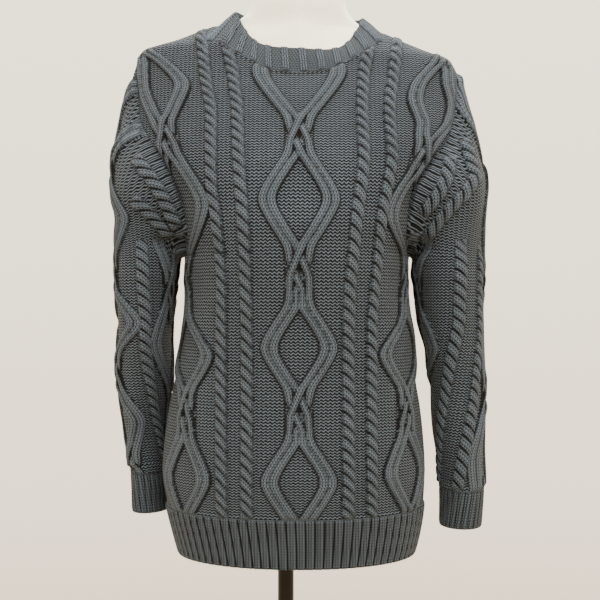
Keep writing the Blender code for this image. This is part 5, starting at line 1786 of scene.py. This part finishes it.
# %% Knitted yarn
# The yarn on top of a loop, then painted shade: darker on the loop's flank and nearly black in a gap
YARN_LIGHT, YARN_FLANK_SHADE, YARN_GAP_SHADE = "#49535f", "#2f363d", "#030405"
# Depths at which those colours lie: on top of a loop, on its flank and in the gap
TOP_DEPTH, FLANK_DEPTH, GAP_DEPTH = 0.0, 0.28, 0.65
# No row of stitches is quite even: it sways over about 6 mm, by up to a quarter of a course each way
SWAY_LENGTH, SWAY = 6.25, 0.25
# Cotton fibres are 0.02 mm thick, too fine to show, so the mottle is drawn as clumps, nine to the centimetre
FIBRE_CLUMP, FIBRE_SPREAD = 10 / 9, 0.16
# The dye takes a little unevenly over a few centimetres
DYE_PATCH, DYE_SPREAD = 200 / 7, 0.3
# How much the painted shade of a groove adds to the depth of the stitches, which darkens the colour
GROOVE_SHADE_WEIGHT = 0.75
BUMP_HEIGHT, BUMP_STRENGTH, FIBRE_BUMP = 1.2, 0.8, 0.25


def knitted_yarn(name, light, middle, gap):
    """Yarn whose stitches follow the wales and courses of the cloth."""
    material, tree, shader = new_material(name, Roughness=0.9, Specular_IOR_Level=0.12, Sheen_Weight=0.05,
                                          Sheen_Roughness=0.5)
    ground = add_node(tree, "ShaderNodeAttribute", attribute_name="ground").outputs["Vector"]
    strand = add_node(tree, "ShaderNodeAttribute", attribute_name="strand").outputs["Vector"]
    groove_shade = add_node(tree, "ShaderNodeAttribute", attribute_name="groove_shade").outputs["Fac"]
    strand_parts = add_node(tree, "ShaderNodeSeparateXYZ", {0: strand})
    place = add_node(tree, "ShaderNodeTexCoord").outputs["Object"]
    uneven = add_node(tree, NOISE, {"Vector": place, "Scale": 1 / (SWAY_LENGTH * MM), "Detail": 1.0})
    sway = add_node(tree, MATH, {0: uneven, 1: 2 * SWAY, 2: -SWAY}, operation="MULTIPLY_ADD")

    # The third number of a strand says how far a point belongs to a cable
    on_cable = add_node(tree, "ShaderNodeMapRange", {0: strand_parts.outputs["Z"], 1: 0.3, 2: 0.7})
    holes = {0: on_cable, 2: purl_bars(tree, ground, sway), 3: knit_legs(tree, strand_parts, sway)}
    stitches = add_node(tree, "ShaderNodeMix", holes, data_type="FLOAT")

    fibres = add_node(tree, NOISE, {"Vector": place, "Scale": 1 / (FIBRE_CLUMP * MM), "Detail": 3.0,
                                                   "Roughness": 0.7})
    # Painted shade: stitch gaps and grooves make a point deeper, and a deeper point takes a darker colour
    depth = add_node(tree, MATH, {0: groove_shade, 1: GROOVE_SHADE_WEIGHT, 2: stitches}, operation="MULTIPLY_ADD")
    mottle = add_node(tree, MATH, {0: fibres, 1: 2 * FIBRE_SPREAD, 2: -FIBRE_SPREAD},
                      operation="MULTIPLY_ADD")
    mottled = add_node(tree, MATH, {0: depth, 1: mottle}, operation="ADD")
    tone = add_node(tree, "ShaderNodeValToRGB", {0: mottled})
    ramp = tone.color_ramp
    ramp.elements[0].position, ramp.elements[0].color = TOP_DEPTH, linear(light)
    ramp.elements[1].position, ramp.elements[1].color = GAP_DEPTH, linear(gap)
    ramp.elements.new(FLANK_DEPTH).color = linear(middle)
    patches = add_node(tree, NOISE, {"Vector": place, "Scale": 1 / (DYE_PATCH * MM), "Detail": 2.0})
    shade = add_node(tree, MATH, {0: patches, 1: DYE_SPREAD, 2: 1 - DYE_SPREAD / 2},
                     operation="MULTIPLY_ADD")
    colour = add_node(tree, "ShaderNodeMix", {0: 1.0, 6: tone, 7: shade}, data_type="RGBA",
                      blend_type="MULTIPLY")
    tree.links.new(colour.outputs[2], shader.inputs["Base Color"])

    fuzz = add_node(tree, MATH, {0: fibres, 1: FIBRE_BUMP}, operation="MULTIPLY")
    height = add_node(tree, MATH, {0: fuzz, 1: stitches}, operation="SUBTRACT")
    bump = add_node(tree, "ShaderNodeBump", {"Height": height, "Distance": BUMP_HEIGHT * MM,
                                             "Strength": BUMP_STRENGTH})
    tree.links.new(bump.outputs[0], shader.inputs["Normal"])
    return material


YARN = knitted_yarn("slate grey yarn", YARN_LIGHT, YARN_FLANK_SHADE, YARN_GAP_SHADE)
print("yarn nodes", len(YARN.node_tree.nodes))

# %% [markdown]
# ## Cotton jersey
# The torso is covered in jersey, a fine machine-knitted cotton that is stretched smooth. It is matt and warm
# white, with rows so fine that they only soften the light, and it is a little cloudy where it has been
# handled.

# %% Cotton jersey
# Real courses are 0.714 mm apart, too fine to show, so they are drawn four times as coarse
JERSEY_COURSE, JERSEY_COARSER = 0.714, 4
# Blender's wave texture has one band in this length when its scale is 1
WAVE_LENGTH = 2 * math.pi / 20
# Cloudy patches are about 8 cm wide
CLOUD = 1000 / 12


def jersey(name, light, dark):
    material, tree, shader = new_material(name, Roughness=0.8, Sheen_Weight=0.15)
    place = add_node(tree, "ShaderNodeTexCoord").outputs["Object"]
    scale = WAVE_LENGTH / (JERSEY_COURSE * JERSEY_COARSER * MM)
    rows = add_node(tree, "ShaderNodeTexWave", {"Vector": place, "Scale": scale, "Distortion": 1.0},
                    bands_direction="Z")
    cloudy = add_node(tree, NOISE, {"Vector": place, "Scale": 1 / (CLOUD * MM), "Detail": 3.0})
    rows_shade = rows.outputs["Fac"]
    mixed = add_node(tree, MATH, {0: rows_shade, 1: 0.25, 2: cloudy}, operation="MULTIPLY_ADD")
    tone = add_node(tree, "ShaderNodeMapRange", {0: mixed, 1: 0.3, 2: 1.0})
    colour = add_node(tree, "ShaderNodeMix", {0: tone, 6: linear(dark), 7: linear(light)}, data_type="RGBA")
    tree.links.new(colour.outputs[2], shader.inputs["Base Color"])
    bump = add_node(tree, "ShaderNodeBump", {"Height": rows_shade, "Distance": 0.3 * MM, "Strength": 0.3})
    tree.links.new(bump.outputs[0], shader.inputs["Normal"])
    return material


JERSEY = jersey("cream cotton jersey", "#fffaee", "#faf3e4")
print("jersey nodes", len(JERSEY.node_tree.nodes))

# %% [markdown]
# ## Stained wood
# The pole and the base are stained very dark brown and varnished, so only a hint of the grain shows under an
# even satin gloss. Their solids have the right shape already, so they keep it and only get this finish.

# %% Stained and varnished wood
# Pores of wood are 0.2 mm wide, too fine to show, so the grain is drawn in streaks 8 mm wide and 60 times as
# long
STREAK_LENGTH, STREAK_SLENDER = 500.0, 60.0


def stained_wood(name, light, dark):
    material, tree, shader = new_material(name, Specular_IOR_Level=0.12, IOR=1.5)
    place = add_node(tree, "ShaderNodeTexCoord").outputs["Object"]
    slender = (STREAK_SLENDER, STREAK_SLENDER, 1.0)
    along = add_node(tree, "ShaderNodeMapping", {"Vector": place, "Scale": slender})
    grain = add_node(tree, NOISE, {"Vector": along, "Scale": 1 / (STREAK_LENGTH * MM), "Detail": 5.0,
                                                  "Distortion": 0.6})
    colour = add_node(tree, "ShaderNodeMix", {0: grain, 6: linear(dark), 7: linear(light)}, data_type="RGBA")
    tree.links.new(colour.outputs[2], shader.inputs["Base Color"])
    rough = add_node(tree, "ShaderNodeMapRange", {0: grain, 3: 0.28, 4: 0.45})
    tree.links.new(rough.outputs[0], shader.inputs["Roughness"])
    return material


WOOD = stained_wood("dark stained wood", "#150c04", "#090502")
for node in ("form_pole", "form_base"):
    solid = bpy.data.objects[node].data
    solid.materials.clear()
    solid.materials.append(WOOD)
print("pole and base are", WOOD.name)

# %% [markdown]
# ## Making the pieces
# Each piece takes the place of its solid.

# %% Make every piece
FRONT_ITEM = FRONT.make("front", "knit", YARN)
BACK_ITEM = BACK.make("back", "knit", YARN)
SLEEVE_ITEMS = {side: SLEEVES[side][0].make("sleeve_left" if side < 0 else "sleeve_right", "knit", YARN)
                for side in (-1, 1)}
HEM_ITEMS = {back: HEMS[back].make("hem_back" if back else "hem_front", "rib", YARN) for back in (False, True)}
CUFF_ITEMS = {side: CUFFS[side].make("cuff_left" if side < 0 else "cuff_right", "rib", YARN)
              for side in (-1, 1)}
NECK_ITEM = NECKBAND.make("neckband", "rib", YARN)
FORM.make("form_torso", "form", JERSEY)

# %% Cloth pieces
print("nine cloth pieces are made")

# %% [markdown]
# ## Floor
# The floor is one pale, matt disc, wide enough to reach behind the part in every view. A plain floor throws
# soft light up under the hem and takes the shadow of the base.

# %% Floor
FLOOR_RADIUS, FLOOR_CORNERS = 2.4, 64


def stage_floor():
    mesh = bpy.data.meshes.new("floor")
    angle = np.arange(FLOOR_CORNERS) * 2 * math.pi / FLOOR_CORNERS
    rim = [(FLOOR_RADIUS * math.cos(turn), FLOOR_RADIUS * math.sin(turn), 0.0) for turn in angle]
    mesh.from_pydata(rim, [], [list(range(FLOOR_CORNERS))])
    material, _, _ = new_material("pale floor", Base_Color=linear("#c5b9a8"), Roughness=0.7)
    mesh.materials.append(material)
    item = bpy.data.objects.new("floor", mesh)
    bpy.context.collection.objects.link(item)


stage_floor()
print("floor", 2 * FLOOR_RADIUS, "m across")

# %% [markdown]
# ## Light
# The sweater is shown as in a small daylight studio: one large soft light in front and above, one over the
# shoulders, a weak one from the left, and a pale warm backdrop that fills the shadows. Soft lights from
# above shade the underside of each cable, which is what makes knitting look deep.

# %% Soft lights


def soft_light(name, place, aim, size, power, colour):
    light = bpy.data.lights.new(name, "AREA")
    light.shape, light.size, light.energy, light.color = "DISK", size, power, linear(colour)[:3]
    item = bpy.data.objects.new(name, light)
    bpy.context.collection.objects.link(item)
    item.location = place
    item.rotation_euler = (Vector(place) - Vector(aim)).to_track_quat("Z", "Y").to_euler()


soft_light("front softbox", (0.4, -1.7, 2.7), (0, 0, 1.2), 1.2, 75.0, "#fffaf2")
soft_light("side softbox", (-2.2, -1.0, 1.5), (0, 0, 1.1), 1.4, 8.0, "#f6f8ff")
soft_light("top softbox", (0.2, 0.4, 2.8), (0, 0, 1.2), 1.2, 75.0, "#ffffff")
print("lights", [light.name for light in bpy.data.lights])

# %% Backdrop
# Colours of the backdrop from below to above, at their places on the way up, and its brightness
BACKDROP_REACH, BACKDROP_STRENGTH = 0.35, 3.4
BACKDROP = ((0.0, "#b8a389"), (0.25, "#d3c4ae"), (1.0, "#ecdfc6"))

world = bpy.data.worlds.new("studio")
bpy.context.scene.world = world
world.use_nodes = True
sky = world.node_tree
way = add_node(sky, "ShaderNodeTexCoord").outputs["Generated"]
upward = add_node(sky, "ShaderNodeSeparateXYZ", {0: way}).outputs["Z"]
share = add_node(sky, "ShaderNodeMapRange", {0: upward, 1: -BACKDROP_REACH, 2: BACKDROP_REACH})
wall = add_node(sky, "ShaderNodeValToRGB", {0: share})
wall.color_ramp.elements[0].color = linear(BACKDROP[0][1])
wall.color_ramp.elements[1].color = linear(BACKDROP[2][1])
wall.color_ramp.elements.new(BACKDROP[1][0]).color = linear(BACKDROP[1][1])
sky.links.new(wall.outputs[0], sky.nodes["Background"].inputs["Color"])
sky.nodes["Background"].inputs["Strength"].default_value = BACKDROP_STRENGTH
print("backdrop strength", BACKDROP_STRENGTH)

# %% [markdown]
# ## Camera
# The camera stands level with the chest, a little over a metre away, so the sweater fills the square frame
# and its upright lines stay upright.

# %% Camera
camera_data = bpy.data.cameras.new("camera")
camera_data.lens, camera_data.sensor_width = 67.5, 36.0
camera = bpy.data.objects.new("camera", camera_data)
bpy.context.collection.objects.link(camera)
camera.location = (0.017, -1.35, 1.056)
camera.rotation_euler = (math.pi / 2, 0, 0)
bpy.context.scene.camera = camera
print("camera at", tuple(round(value, 3) for value in camera.location))

# %% [markdown]
# The finer cloth has to stay within the size of its solids, apart from what soft cloth may stand proud.
